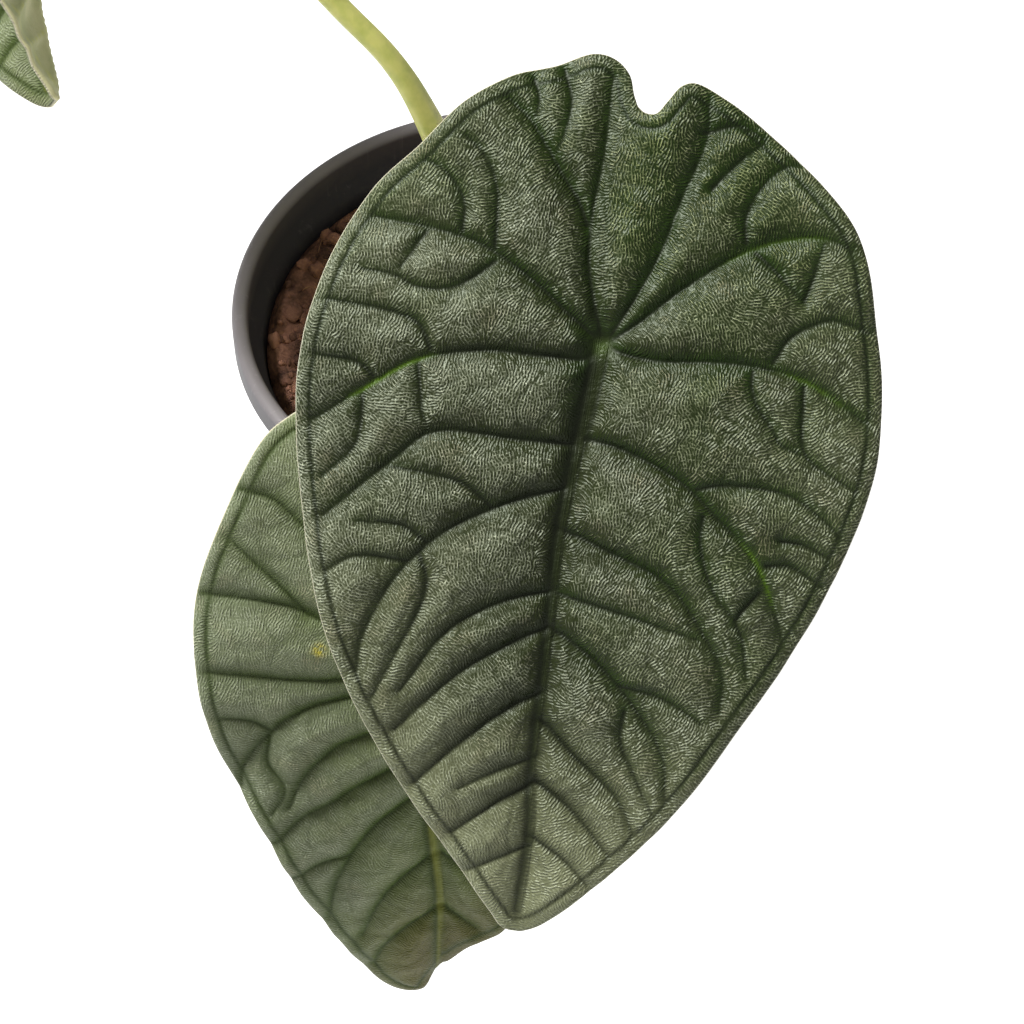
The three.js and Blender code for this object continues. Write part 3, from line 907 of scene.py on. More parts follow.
FRONT_PATTERN = LeafPattern(
    outline=(
        (-9.5, 53), (-5.5, 52.5), (-2.5, 50), (-1, 46), (0.5, 43.6), (3, 43.3), (5, 46), (7, 49),
        (9.5, 50), (16.5, 47.5), (24.5, 43), (35.5, 35), (44, 26), (49.5, 11.5), (52.5, 0), (53.5, -13.5),
        (52, -25.5), (48, -41), (42.5, -54.5), (35.5, -68), (27, -84), (17, -98), (6.5, -110),
        (3, -113), (0, -114.2), (-2.5, -113.7), (-5, -111), (-12.5, -102.5), (-26, -87.5), (-38.5, -70),
        (-45, -57.5), (-50.5, -42), (-55, -22.5), (-55.5, -7), (-52.5, 9.5), (-47, 22), (-39, 31.5),
        (-32, 40.5), (-23.5, 47), (-17, 49.5),
    ),
    midrib=(((0, 0), (-1.5, -20), (-2.5, -38), (-2, -49), (-1.5, -65), (-1, -84), (0, -93), (0, -110)),),
    primary=(
        ((0, 0), (-4.5, 13), (-5.5, 22), (-5, 35), (-5.5, 49)),
        ((-6, 21), (-8.5, 25.5), (-11.5, 29), (-15.5, 34), (-19.5, 38.8), (-24, 42)),
        ((0, 0), (4.5, 9.5), (8, 19), (10, 28), (12.3, 36), (13.3, 41), (12.5, 47)),
        ((0, 0), (5, 4), (10.5, 9.7), (16, 14.8), (20, 18), (24, 20.7), (28.5, 23), (37.5, 25), (43, 23.5)),
        ((0, 0), (2.5, -1.2), (10, -1.8), (20, -0.6), (27.5, -0.1), (38, -1.6), (46.3, -5.5), (50, -7.5)),
        ((-2, -18), (6, -19), (18, -23.5), (25.5, -29), (33.5, -35.5), (39, -45), (41, -49.5)),
        ((-2.5, -35.5), (7, -38.5), (18, -42.5), (26, -50.5), (31, -58), (31.5, -65)),
        ((-2, -54), (7.5, -59.5), (16, -67), (22.5, -75.5), (24, -83)),
        ((-1, -72), (5.5, -77.5), (15, -84.5), (19, -90.5)),
        ((-0.5, -84), (6.5, -88), (15, -95.5)),
        ((0, 0), (-6.5, 4), (-13, 8.5), (-21, 13), (-28, 15.5), (-45.5, 17)),
        ((0, 0), (-2, -3), (-10.5, -4), (-21, -4.5), (-33.5, -8), (-43, -15), (-51.5, -22)),
        ((-2, -19.5), (-13, -20), (-29, -21), (-35.5, -27), (-47, -39.5)),
        ((-2.5, -27.5), (-13, -32), (-24, -39), (-32, -49), (-36.5, -61.5), (-36.5, -67)),
        ((-2, -47), (-10.5, -50), (-20.5, -57), (-28, -70)),
        ((-2, -54), (-8, -57.5), (-17.5, -65), (-28, -77.5)),
        ((-1.5, -66.5), (-7.5, -70.5), (-16.5, -79.5), (-23, -87.5)),
        ((-1, -84.5), (-6.5, -88.5), (-14.5, -96)),
    ),
    branch=(
        ((-14.5, 49), (-12.5, 43.5), (-13, 37), (-14, 33.5)),
        ((-20, 46.5), (-18.5, 43), (-18.8, 39.5)),
        ((12.5, 41), (19, 43.3), (24, 41.5)),
        ((15.5, 31), (18.3, 35), (21, 38.2), (24, 41)),
        ((23.3, 22), (22.5, 26), (23.3, 30), (25.5, 34), (28, 36.8), (31, 38)),
        ((25, 20.8), (29.3, 17.8), (32.3, 15.4), (35.5, 13)),
        ((35.5, 13), (36.4, 16.7), (37, 21), (37.7, 25)),
        ((31.5, 1), (34, 6), (38, 9), (41, 10.3), (45, 10), (48.5, 9)),
        ((28, -1), (28.2, -4), (30.2, -8), (33, -11), (35.1, -13.7), (39, -15)),
        ((37.8, -2.5), (38.3, -6.5), (38.7, -11), (39.7, -14.5), (41.5, -16.3), (50, -20.3)),
        ((21, -24.3), (24, -23.2), (28, -22.5), (35.5, -22.4), (39.5, -23.3), (46, -27), (48.8, -29.5)),
        ((38, -31.5), (42, -31.6), (47.3, -33.4)),
        ((23, -29), (23, -33), (24.5, -38), (28, -44), (32, -47.5)),
        ((35.5, -41.5), (32, -47.5), (33.5, -50.5), (35.5, -58)),
        ((36, -36.5), (40.5, -36), (47, -39)),
        ((-2, -47.5), (8.5, -49), (25.5, -52)),
        ((12, -63), (20.5, -64), (28.5, -67.5)),
        ((14, -67.5), (14, -73), (17, -78.5), (22, -86)),
        ((0, -94.5), (7, -98), (12, -102)),
        ((-22.5, 14.5), (-23, 20), (-24, 26), (-27, 31), (-31, 34)),
        ((-22, 12), (-26, 8.2), (-30, 5.8), (-36, 5.3), (-40, 6.7), (-46.5, 7)),
        ((-35.5, 15.5), (-37.5, 12), (-39.5, 8)),
        ((-29, 16.5), (-29.5, 22), (-33, 26.5), (-37, 28.5)),
        ((-31.5, -6), (-34.5, -1.5), (-39.5, 0), (-52, 0.5)),
        ((-41, -13), (-42.5, -11.5), (-45, -10.2), (-53, -10)),
        ((-33.5, -8.5), (-32.5, -13), (-31.3, -18), (-29.5, -21.5)),
        ((-43, -15.5), (-42.5, -20.5), (-43, -25.5), (-48.5, -32.5)),
        ((-16, -33.3), (-19.3, -31), (-22, -29.6), (-26, -28.8), (-35, -28.5), (-38, -29)),
        ((-27, -41.5), (-32, -39), (-40.5, -39.5)),
        ((-30, -45.5), (-40, -46), (-45, -49.5)),
        ((-28, -44), (-26, -48.5), (-26.5, -53.5), (-29.5, -62), (-33, -72)),
        ((-1, -79), (-8.5, -83), (-14.5, -87)),
        ((0, -96.5), (-10.5, -103)),
    ),
    fresh={3: (0.45, 0.95, 0.35), 4: (0.6, 0.95, 0.55), 5: (0.6, 0.93, 0.8), 11: (0.52, 0.9, 0.9)},
)

LEFT_BRANCHES = (
    ((-22, 11), (-26, 16.5), (-32, 23.5), (-36.5, 29)),
    ((-32, -14.5), (-35.5, -12), (-42, -10.5)),
    ((-32, -16), (-33, -22.5), (-30, -29.5), (-33, -35)),
    ((-18, -49), (-24.5, -50), (-30, -53)),
)
LEFT_PRIMARIES = (
    ((0, 0), (-5, 14), (-7, 28), (-8, 42), (-10, 52)),
    ((0, 0), (-6, 10), (-14, 21), (-22, 30.5), (-27, 36), (-33, 38.5)),
    ((0, 0), (-8, 4.5), (-20, 10), (-25, 13), (-32, 15), (-42.5, 16.5)),
    ((0, 0), (-10, -3.5), (-18.5, -4), (-27.5, -3), (-43, 0)),
    ((-0.5, -9), (-8, -8.5), (-16, -8.5), (-23.5, -10), (-30.5, -14), (-38, -23.5), (-39, -29)),
    ((-0.5, -16), (-13, -18), (-18.5, -20), (-26, -27), (-29.5, -34)),
    ((-0.5, -25), (-12, -29), (-21.5, -34.5), (-27, -37), (-33, -43)),
    ((-0.5, -33), (-7, -37.5), (-13, -42.5), (-21, -56), (-23.5, -68)),
    ((-0.5, -52), (-9, -59.5), (-13, -65.5), (-17, -76)),
    ((0, -69), (-7.5, -74.5), (-12, -80), (-15, -87.5)),
)


LOWER_PATTERN = LeafPattern(
    outline=(
        (2.5, 44), (0, 45), (-2.5, 50), (-8, 56), (-14, 56.5), (-21.5, 53), (-28, 48.5), (-37.5, 33),
        (-44.5, 16.5), (-45.8, 5), (-45.2, -8), (-43, -20), (-39.3, -30.5), (-34.7, -42), (-29.3, -57.5),
        (-22, -77), (-15.5, -92.5), (-11, -99), (-7.5, -101.2), (-4.8, -100.9), (-2.4, -96.5),
        (0.4, -91.8), (5.6, -83.2), (12, -77.5), (24, -60), (34, -42), (40.5, -24), (43, -6), (42, 10),
        (38, 25), (31, 39), (22, 49), (13, 54.5), (7, 54), (4, 49),
    ),
    midrib=(((0, 0), (-0.5, -24), (-0.5, -47), (0, -64), (-1.5, -95)),),
    primary=(*LEFT_PRIMARIES, *across_midrib(LEFT_PRIMARIES[:-1]), ((0, -69), (7, -76))),
    branch=(*LEFT_BRANCHES, *across_midrib(LEFT_BRANCHES)),
    fresh={2: (0.1, 0.5, 0.25)},
    spots=((-20.5, 3.8, 1.2),),
)


class Relief:
    """The quilted relief of a leaf pattern at flat points, and what its colours follow."""

    REACH = 15.0
    BLEND = 5
    TAPER = 0.4
    CREASE_SHARE = 0.42
    CREASE_TAPER = 0.5
    LINE_WIDTHS = (1.15, 0.65)
    LINE_FADE = 0.35
    LINE_PULL = 0.7
    CORD_TAPER = 0.6
    CORD_OFF = 1.05
    CORD_WIDTH = 0.95
    CORD_HEIGHT = 0.5
    # Widths of the painted shadow along the midrib's left and right walls.
    MIDRIB_LINES = (1.3, 0.3)
    # Painted shade: which bank of a vein faces away from the light and is painted darker, how far that
    # painted shade reaches, and how it widens left of the midrib near the hub.
    SHADE_SIDE = np.array((-0.5, 0.87))
    SHADE_TURN = (-0.35, 0.5)
    BANK_SHADE_REACH = 1.45
    BANK_SHADE_SPREAD = 4.5
    BANK_SHADE_SPREAD_END = 0.4
    BANK_LIT = 0.15
    BANK_SHADE_FADE = 0.4
    FRESH_WIDTH = 0.4
    FRESH_ENDS = (0.12, 0.1)
    LINE_STEP = 1.0
    COLLECTIVE_INSET = 2.8
    COLLECTIVE_DEPTH = 0.7
    COLLECTIVE_WIDTH = 1.1
    COLLECTIVE_PULL = 0.6
    CRINKLE_WAVE = 12.0
    CRINKLE_SEED = 17
    CRINKLE_WIDTH = 0.16
    CRINKLE_INSET = (3.5, 8.0)
    CRINKLE_LINE = 0.16
    STRAY_TURN = 0.75
    STRAY_WAVE = 9.0
    STRAY_SEED = 11
    # Groove depths over which the tissue is painted darker: painted shade in the hollows.
    HOLLOW = (0.4, 2.2)
    HUB = (-0.4, -0.8)
    HUB_SIZE = 1.7
    HUB_SHARE = 0.85
    CALM_SIZE = 3.2
    ROLL_REACH = 3.6
    ROLL_DROP = 0.9
    WAVE_HEIGHT = 1.3
    WAVE_REACH = 15.0
    WAVES = 7
    WAVE_PHASE = 0.6

    def __init__(
        self,
        pattern: LeafPattern,
        points: Points,
        lushness_and_shade: Callable[[Points], Points],
        fading_and_sheen: Callable[[Points], Points],
    ) -> None:
        """Works the relief out.

        Args:
            pattern: The leaf's pattern.
            points: Flat points.
            lushness_and_shade: How much greener than grey the leaf is at flat points; on the front leaf,
                its painted sheen and shade.
            fading_and_sheen: How far its tissue has faded there; on the front leaf, how much painted sheen
                pales it.
        """
        self.points = points
        count = len(points)
        self.groove, self.rib, self.line, self.green = np.zeros((4, count))
        self.fresh, self.cord, self.spot = np.zeros((3, count))
        self.lie = np.zeros((count, 2))
        self.rim = nearness(pattern.margin(), points, True)
        for kind in VeinKind:
            for index, path in enumerate(pattern.veins(kind)):
                fresh = pattern.fresh.get(index) if kind is VeinKind.PRIMARY else None
                self._add_vein(evenly(smooth_curve(path), self.LINE_STEP), kind.value, fresh)
        self._add_collective()
        self._comb()
        # On the front leaf this map carries painted sheen and shade.
        self.lush_and_shade = lushness_and_shade(points)
        self.fading_and_sheen = fading_and_sheen(points)
        for *place, size in pattern.spots:
            self.spot += np.exp(-(((points - place) ** 2).sum(axis=1) / size**2))
        self.crinkle = bell(swell(points, self.CRINKLE_WAVE, self.CRINKLE_SEED), self.CRINKLE_WIDTH)
        self.crinkle *= smoothstep(self.rim.distance, *self.CRINKLE_INSET)
        # Faint dark lines in the crinkles: painted shade.
        self.line = np.maximum(self.line, self.CRINKLE_LINE * self.crinkle)

    def _add_vein(self, line: Points, size: VeinSize, fresh: tuple[float, float, float] | None) -> None:
        """Sinks one vein, with its colours and the painted shade on its banks, into the points within its
        reach.

        Args:
            line: The vein's points from its root.
            size: Its kind.
            fresh: Where along it fresh green starts and ends and how strong it is.
        """
        low, high = line.min(axis=0) - self.REACH, line.max(axis=0) + self.REACH
        near = np.flatnonzero(((self.points > low) & (self.points < high)).all(axis=1))
        found = nearness(line, self.points[near])
        taper = 1 - self.TAPER * found.along
        crease = size.crease * (1 - self.CREASE_TAPER * found.along)
        off = np.hypot(found.distance, crease) - crease
        valley = bell(found.distance, size.valley)
        fade = taper * (self.CREASE_SHARE * np.exp(-off / size.width) + (1 - self.CREASE_SHARE) * valley)
        self.groove[near] += (size.depth * fade) ** self.BLEND
        self.rib[near] = np.maximum(self.rib[near], size.rib * fade)
        # The dark line in a vein's crease is painted shade; along the midrib it runs on both walls, much
        # wider on the left, as painted shadow.
        width = size.line * np.interp(found.along, (0, 1), self.LINE_WIDTHS)
        centre = found.distance
        if size is VeinKind.MIDRIB.value:
            slim = 1 - self.CORD_TAPER * found.along
            self.cord[near] = slim * bell(found.distance, self.CORD_WIDTH * slim)
            centre = found.distance - self.CORD_OFF * slim
            width = np.where(found.offset[:, 0] < 0, *self.MIDRIB_LINES) * slim
        drawn = bell(centre, width) * (1 - self.LINE_FADE * found.along)
        self.line[near] = np.maximum(self.line[near], drawn)
        # Painted shade on the bank that faces away from the light, strongest on that side and wider left of
        # the midrib near the hub.
        shaded = smoothstep(found.offset @ self.SHADE_SIDE / (found.distance + 0.2), *self.SHADE_TURN)
        reach = self.BANK_SHADE_REACH
        if size is VeinKind.MIDRIB.value:
            upper_left = (1 - smoothstep(found.along, 0, self.BANK_SHADE_SPREAD_END)) * (found.offset[:, 0] < 0)
            reach = reach + self.BANK_SHADE_SPREAD * upper_left
        shaded_bank = size.green * bell(found.distance, reach)
        shaded_bank *= (self.BANK_LIT + (1 - self.BANK_LIT) * shaded) * (1 - self.BANK_SHADE_FADE * found.along)
        self.green[near] = np.maximum(self.green[near], shaded_bank)
        if fresh:
            start, end, strength = fresh
            inside = smoothstep(found.along, start, start + self.FRESH_ENDS[0])
            inside *= 1 - smoothstep(found.along, end - self.FRESH_ENDS[1], end)
            glow = strength * inside * bell(found.distance, self.FRESH_WIDTH)
            self.fresh[near] = np.maximum(self.fresh[near], glow)
        self._lay(near, found, size.depth)

    def _lay(self, near: Points, found: Nearness, weight: float) -> None:
        """Lets the wrinkles near a line run across it.

        Args:
            near: Which points are near.
            found: How they lie to the line.
            weight: How strongly the line turns them.
        """
        pull = (weight / (found.distance + self.LINE_PULL) ** 2)[:, None]
        along_x, along_y = found.direction.T
        doubled = np.stack([along_x**2 - along_y**2, 2 * along_x * along_y], axis=1)
        self.lie[near] += pull * doubled

    def _add_collective(self) -> None:
        """Sinks the vein that follows the margin, with its dark line and painted shade along it."""
        inset = np.abs(self.rim.distance - self.COLLECTIVE_INSET)
        self.groove += (self.COLLECTIVE_DEPTH * np.exp(-inset / self.COLLECTIVE_WIDTH)) ** self.BLEND
        self.groove **= 1 / self.BLEND
        self.line = np.maximum(self.line, 0.8 * bell(inset, 0.3))
        self.green = np.maximum(self.green, 0.3 * bell(inset, 0.9))
        near = np.arange(len(self.points))
        found = Nearness(inset, self.rim.along, self.rim.direction, self.rim.offset)
        self._lay(near, found, self.COLLECTIVE_PULL)

    def _comb(self) -> None:
        """Turns the wrinkles a little at random and lengthways in the neck under the sinus."""
        x, y = self.points.T
        neck = 0.5 * np.exp(-(((x - 2) / 5) ** 2) - (((y - 32) / 13) ** 2))
        lobes = 0.16 * smoothstep(y, 4, 24) * (1 - smoothstep(x, 14, 26))
        self.lie[:, 0] += neck + lobes
        turn = self.STRAY_TURN * swell(self.points, self.STRAY_WAVE, self.STRAY_SEED)
        cosine, sine = np.cos(turn), np.sin(turn)
        lie_x, lie_y = self.lie.T
        self.lie = np.stack([lie_x * cosine - lie_y * sine, lie_x * sine + lie_y * cosine], axis=1)
        self.lie /= np.linalg.norm(self.lie, axis=1)[:, None]

    @property
    def wave(self) -> Points:
        """How the blade's margin waves up and down.

        Returns:
            The height at each point.
        """
        x, y = self.points.T
        reach = 1 - smoothstep(self.rim.distance, 0, self.WAVE_REACH)
        return self.WAVE_HEIGHT * np.sin(self.WAVES * np.arctan2(x, y) + self.WAVE_PHASE) * reach

    def values(self) -> dict[str, Points]:
        """What the materials read at the points.

        Returns:
            Numbers or vectors by the names of their attributes.
        """
        x, y = self.points.T
        return {
            "flat": np.stack([x, y, np.zeros(len(x))], axis=1),
            "edge": self.rim.distance,
            "line": self.line,
            # Painted shade in the grooves.
            "hollow": smoothstep(self.groove, *self.HOLLOW),
            # Painted shade on the vein banks.
            "green": self.green,
            "fresh": self.fresh,
            "lush_and_shade": self.lush_and_shade,
            "fading_and_sheen": self.fading_and_sheen,
            "cord": self.cord,
            "hub": self.HUB_SHARE * bell(np.hypot(x - self.HUB[0], y - self.HUB[1]), self.HUB_SIZE),
            "calm": bell(np.hypot(x, y), self.CALM_SIZE),
            "spot": self.spot,
            "lie_cosine": self.lie[:, 0],
            "lie_sine": self.lie[:, 1],
        }


@dataclass
class Leaf:
    """A leaf: its blade and its petiole.

    The petiole's first point is its foot on the stem; the rest lie on its way to the blade.
    """

    number: int
    pattern: LeafPattern
    hub: Place
    tip: Place
    face: Place
    fold: float
    side_bend: float
    end_bend: float
    petiole: tuple[tuple[float, ...], ...]
    lushness_and_shade: Callable[[Points], Points]
    fading_and_sheen: Callable[[Points], Points]
    finish: QuiltedSkin = QuiltedSkin()
    thickness: float = 1.1
    top_spacing: float = 0.5
    top_insets: tuple[float, ...] = (0.12, 0.35, 0.75)
    under_spacing: float = 0.95
    under_insets: tuple[float, ...] = (0.2, 0.6)
    inset_room: float = 0.9
    fill_room: float = 0.6
    pillow: float = 0.13
    pillow_wave: float = 7.0
    pillow_seed: int = 5
    pillow_inset: tuple[float, float] = (1.5, 9.0)
    pillow_under: float = 0.4
    ripple: float = 0.02
    ripple_wave: float = 2.6
    ripple_seed: int = 8
    map_room: float = 1.04
    upright: float = 3.0
    neck: float = 9.4
    petiole_step: float = 0.9

    def axes(self) -> tuple[Points, Points, Points]:
        """Unit vectors across the blade, towards the sinus and out of its upper face.

        Returns:
            The three vectors.
        """
        back = -np.array(self.tip) / np.linalg.norm(self.tip)
        face = np.array(self.face) - back * (np.array(self.face) @ back)
        face /= np.linalg.norm(face)
        return np.cross(back, face), back, face

    def on_blade(self, flat: Points, height: Points) -> Points:
        """Maps flat points, at heights above the blade, onto the folded and bent blade.

        Args:
            flat: The flat points.
            height: How far above the blade each lies.

        Returns:
            Their places.
        """
        across, back, face = self.axes()
        x, y = flat.T
        fold = math.radians(self.fold)
        side = np.sign(x)
        slope = fold - self.side_bend * np.abs(x)
        reach = side * (math.sin(fold) - np.sin(slope)) / self.side_bend
        lift = (np.cos(slope) - math.cos(fold)) / self.side_bend
        turn = self.end_bend * y
        up = np.outer(np.sin(turn), back) + np.outer(np.cos(turn), face)
        return (
            np.array(self.hub)
            + np.outer(reach - height * side * np.sin(slope), across)
            + np.outer(np.sin(turn) / self.end_bend, back)
            + np.outer((np.cos(turn) - 1) / self.end_bend, face)
            + up * (lift + height * np.cos(slope))[:, None]
        )

    def flat_points(self, spacing: float, insets: Sequence[float]) -> tuple[Points, int]:
        """Scatters points over the flat blade.

        Args:
            spacing: Distance between the points that fill it.
            insets: How far inside the margin extra rows of points run.

        Returns:
            The points, the margin's first, and how many lie on the margin.
        """
        margin = self.pattern.margin()
        ahead = np.roll(margin, -1, axis=0) - np.roll(margin, 1, axis=0)
        inward = np.stack([ahead[:, 1], -ahead[:, 0]], axis=1) / np.linalg.norm(ahead, axis=1)[:, None]
        rows = [margin]
        for inset in insets:
            row = margin + inward * inset
            rows.append(row[nearness(margin, row, True).depth > self.inset_room * inset])
        low, high = margin.min(axis=0), margin.max(axis=0)
        line = spacing * math.sqrt(3) / 2
        grid_y, grid_x = np.mgrid[low[1]:high[1]:line, low[0]:high[0]:spacing]
        grid_x[1::2] += spacing / 2
        fill = np.stack([grid_x.ravel(), grid_y.ravel()], axis=1)
        room = insets[-1] + self.fill_room * spacing
        rows.append(fill[nearness(margin, fill, True).depth > room])
        return np.vstack(rows), len(margin)

    def triangles(self, points: Points, loop: int) -> Points:
        """Triangles between flat points inside the loop of the first ones, counter-clockwise.

        Args:
            points: The flat points.
            loop: How many of them make the loop.

        Returns:
            The points of each triangle.
        """
        faces = triangulated(points, loop_edges(loop))
        on_loop = np.flatnonzero((faces < loop).all(axis=1))
        outside = on_loop[nearness(points[:loop], points[faces[on_loop]].mean(axis=1), True).depth < 0]
        log.info("leaf %d: %d triangles, %d left out", self.number, len(faces), len(outside))
        return np.delete(faces, outside, axis=0)

    def relief_heights(self, relief: Relief) -> tuple[Points, Points]:
        """Heights of the upper and lower faces at the relief's points.

        Args:
            relief: The relief.

        Returns:
            The heights above the plain blade.
        """
        points = relief.points
        edge = relief.rim.distance
        inner = smoothstep(edge, *self.pillow_inset)
        pillow = swell(points, self.pillow_wave, self.pillow_seed + self.number) - relief.crinkle
        ripple = self.ripple * swell(points, self.ripple_wave, self.ripple_seed + self.number)
        pillow = self.pillow * pillow + ripple
        roll = relief.ROLL_DROP * (1 - np.clip(edge / relief.ROLL_REACH, 0, 1)) ** 2
        middle = relief.wave - relief.groove + relief.CORD_HEIGHT * relief.cord - roll
        round_off = self.thickness / 2
        shy = np.clip(round_off - edge, 0, round_off)
        drop = round_off - np.sqrt(round_off**2 - shy**2)
        calm = 1 - relief.line
        upper = middle + pillow * inner * calm - drop
        lower = middle - self.thickness - relief.rib + self.pillow_under * pillow * inner + drop
        return upper, lower

    def build_blade(self, skin: bpy.types.Material, underside: bpy.types.Material) -> bpy.types.Object:
        """Builds the blade as one closed mesh with both faces.

        Args:
            skin: The finish of the upper face.
            underside: The finish of the lower face.

        Returns:
            The blade.
        """
        top, loop = self.flat_points(self.top_spacing, self.top_insets)
        under, _ = self.flat_points(self.under_spacing, self.under_insets)
        top_relief = Relief(self.pattern, top, self.lushness_and_shade, self.fading_and_sheen)
        under_relief = Relief(self.pattern, under, self.lushness_and_shade, self.fading_and_sheen)
        upper, _ = self.relief_heights(top_relief)
        _, lower = self.relief_heights(under_relief)
        points = np.vstack([self.on_blade(top, upper), self.on_blade(under[loop:], lower[loop:])])
        top_faces = self.triangles(top, loop)
        under_faces = self.triangles(under, loop)[:, ::-1]
        under_faces = np.where(under_faces >= loop, under_faces + len(top) - loop, under_faces)
        top_values = top_relief.values()
        under_values = under_relief.values()
        values = {key: np.concatenate([top_values[key], under_values[key][loop:]]) for key in top_values}
        faces = np.vstack([top_faces, under_faces])
        slots = np.repeat([0, 1], [len(top_faces), len(under_faces)])
        name = f"leaf_blade_{self.number}"
        piece = make_piece(name, points, faces.tolist(), [skin, underside], values, slots)
        self._lay_out(piece, values["flat"][:, :2], faces, slots)
        dress(piece, f"leaf_{self.number}")
        return piece

    def _lay_out(self, piece: bpy.types.Object, flat: Points, faces: Points, slots: Points) -> None:
        """Gives the blade a map with its upper face on the left half and its lower on the right.

        Args:
            piece: The blade.
            flat: Its flat points.
            faces: The points of each face.
            slots: Which face of the blade each belongs to.
        """
        low, high = flat.min(axis=0), flat.max(axis=0)
        size = max(2 * (high[0] - low[0]), high[1] - low[1]) * self.map_room
        corners = flat[faces.ravel()] - (low + high) / 2
        side = np.repeat(slots, 3)
        across = np.where(side == 0, corners[:, 0], -corners[:, 0]) / size + 0.25 + 0.5 * side
        layer = piece.data.uv_layers.new(name="OFBake")
        spread = np.stack([across, corners[:, 1] / size + 0.5], axis=1)
        layer.uv.foreach_set("vector", spread.astype(np.float32).ravel())

    def petiole_line(self) -> Points:
        """The petiole's middle line, from the top of the stem into the blade.

        Returns:
            Its points.
        """
        (foot_x, foot_y), *rest = self.petiole
        face = self.axes()[2]
        hub = np.array(self.hub)
        midrib = VeinKind.MIDRIB.value
        seat = (midrib.depth + self.thickness + midrib.rib) * math.cos(math.radians(self.fold))
        path = [
            (foot_x, foot_y, STEM_TOP + CLEARANCE),
            (foot_x, foot_y, STEM_TOP + CLEARANCE + self.upright),
            *rest,
            tuple(hub - face * self.neck),
            tuple(hub - face * (seat - 0.5)),
        ]
        return evenly(smooth_curve(path), self.petiole_step)


@dataclass
class Petiole:
    """A leaf's stalk, round above and opening into a winged sheath towards the stem."""

    leaf: Leaf
    radius: float = 2.5
    sheath_radius: float = 3.9
    sheath_end: float = 0.26
    sheath_fade: float = 0.14
    cleft_width: float = 0.42
    cleft_depth: float = 0.34
    wing_angle: float = 0.72
    wing_width: float = 0.17
    wing_height: float = 0.1
    taper: float = 0.15
    flare: float = 0.5
    flare_start: float = 0.965
    rib: float = 0.06
    ribs: int = 9
    rib_turn: float = 2.0
    wing_tone: float = 1.2
    foot_end: float = 0.06
    foot_tone: float = 0.75
    sides: int = 40

    def frames(self, line: Points) -> tuple[Points, Points]:
        """Unit vectors square to the line, the first on the side that faces the plant's middle.

        Args:
            line: The points of the line.

        Returns:
            Both vectors at each point.
        """
        ahead = np.gradient(line, axis=0)
        ahead /= np.linalg.norm(ahead, axis=1)[:, None]
        inward = -np.array([*self.leaf.petiole[0], 0.0])
        firsts = []
        for direction in ahead:
            inward = inward - direction * (inward @ direction)
            inward = inward / np.linalg.norm(inward)
            firsts.append(inward)
        first = np.array(firsts)
        return first, np.cross(ahead, first)

    def build(self, skin: bpy.types.Material) -> bpy.types.Object:
        """Builds the stalk as one closed tube.

        Args:
            skin: Its finish.

        Returns:
            The stalk.
        """
        line = self.leaf.petiole_line()
        first, second = self.frames(line)
        along = np.linspace(0, 1, len(line))[:, None]
        around = steps_round(self.sides)[None, :]
        turned = (around + np.pi) % (2 * np.pi) - np.pi
        end, fade = self.sheath_end, self.sheath_fade
        sheath = 1 - smoothstep(along, end - fade, end + fade)
        cleft = sheath * bell(turned, self.cleft_width)
        wing = sheath * bell(np.abs(turned) - self.wing_angle, self.wing_width)
        radius = self.radius + sheath * (self.sheath_radius - self.radius)
        radius = radius - self.taper * (1 - sheath) * along
        flare = self.flare * smoothstep(along, self.flare_start, 1.0)
        radius = radius * (1 - self.cleft_depth * cleft + self.wing_height * wing) + flare
        radius = radius + self.rib * np.sin(self.ribs * around + self.rib_turn) * (1 - sheath) * (1 - along)
        foot = np.ones_like(radius) * (1 - smoothstep(along, 0.0, self.foot_end)) * self.foot_tone
        values = {"wing": np.clip(wing * self.wing_tone, 0, 1).ravel(), "foot": foot.ravel()}
        points = round_line(line, first, second, radius)
        faces = closed_faces(len(line), self.sides)
        piece = make_piece(f"petiole_stalk_{self.leaf.number}", points, faces, [skin], values)
        dress(piece, f"petiole_{self.leaf.number}")
        return piece


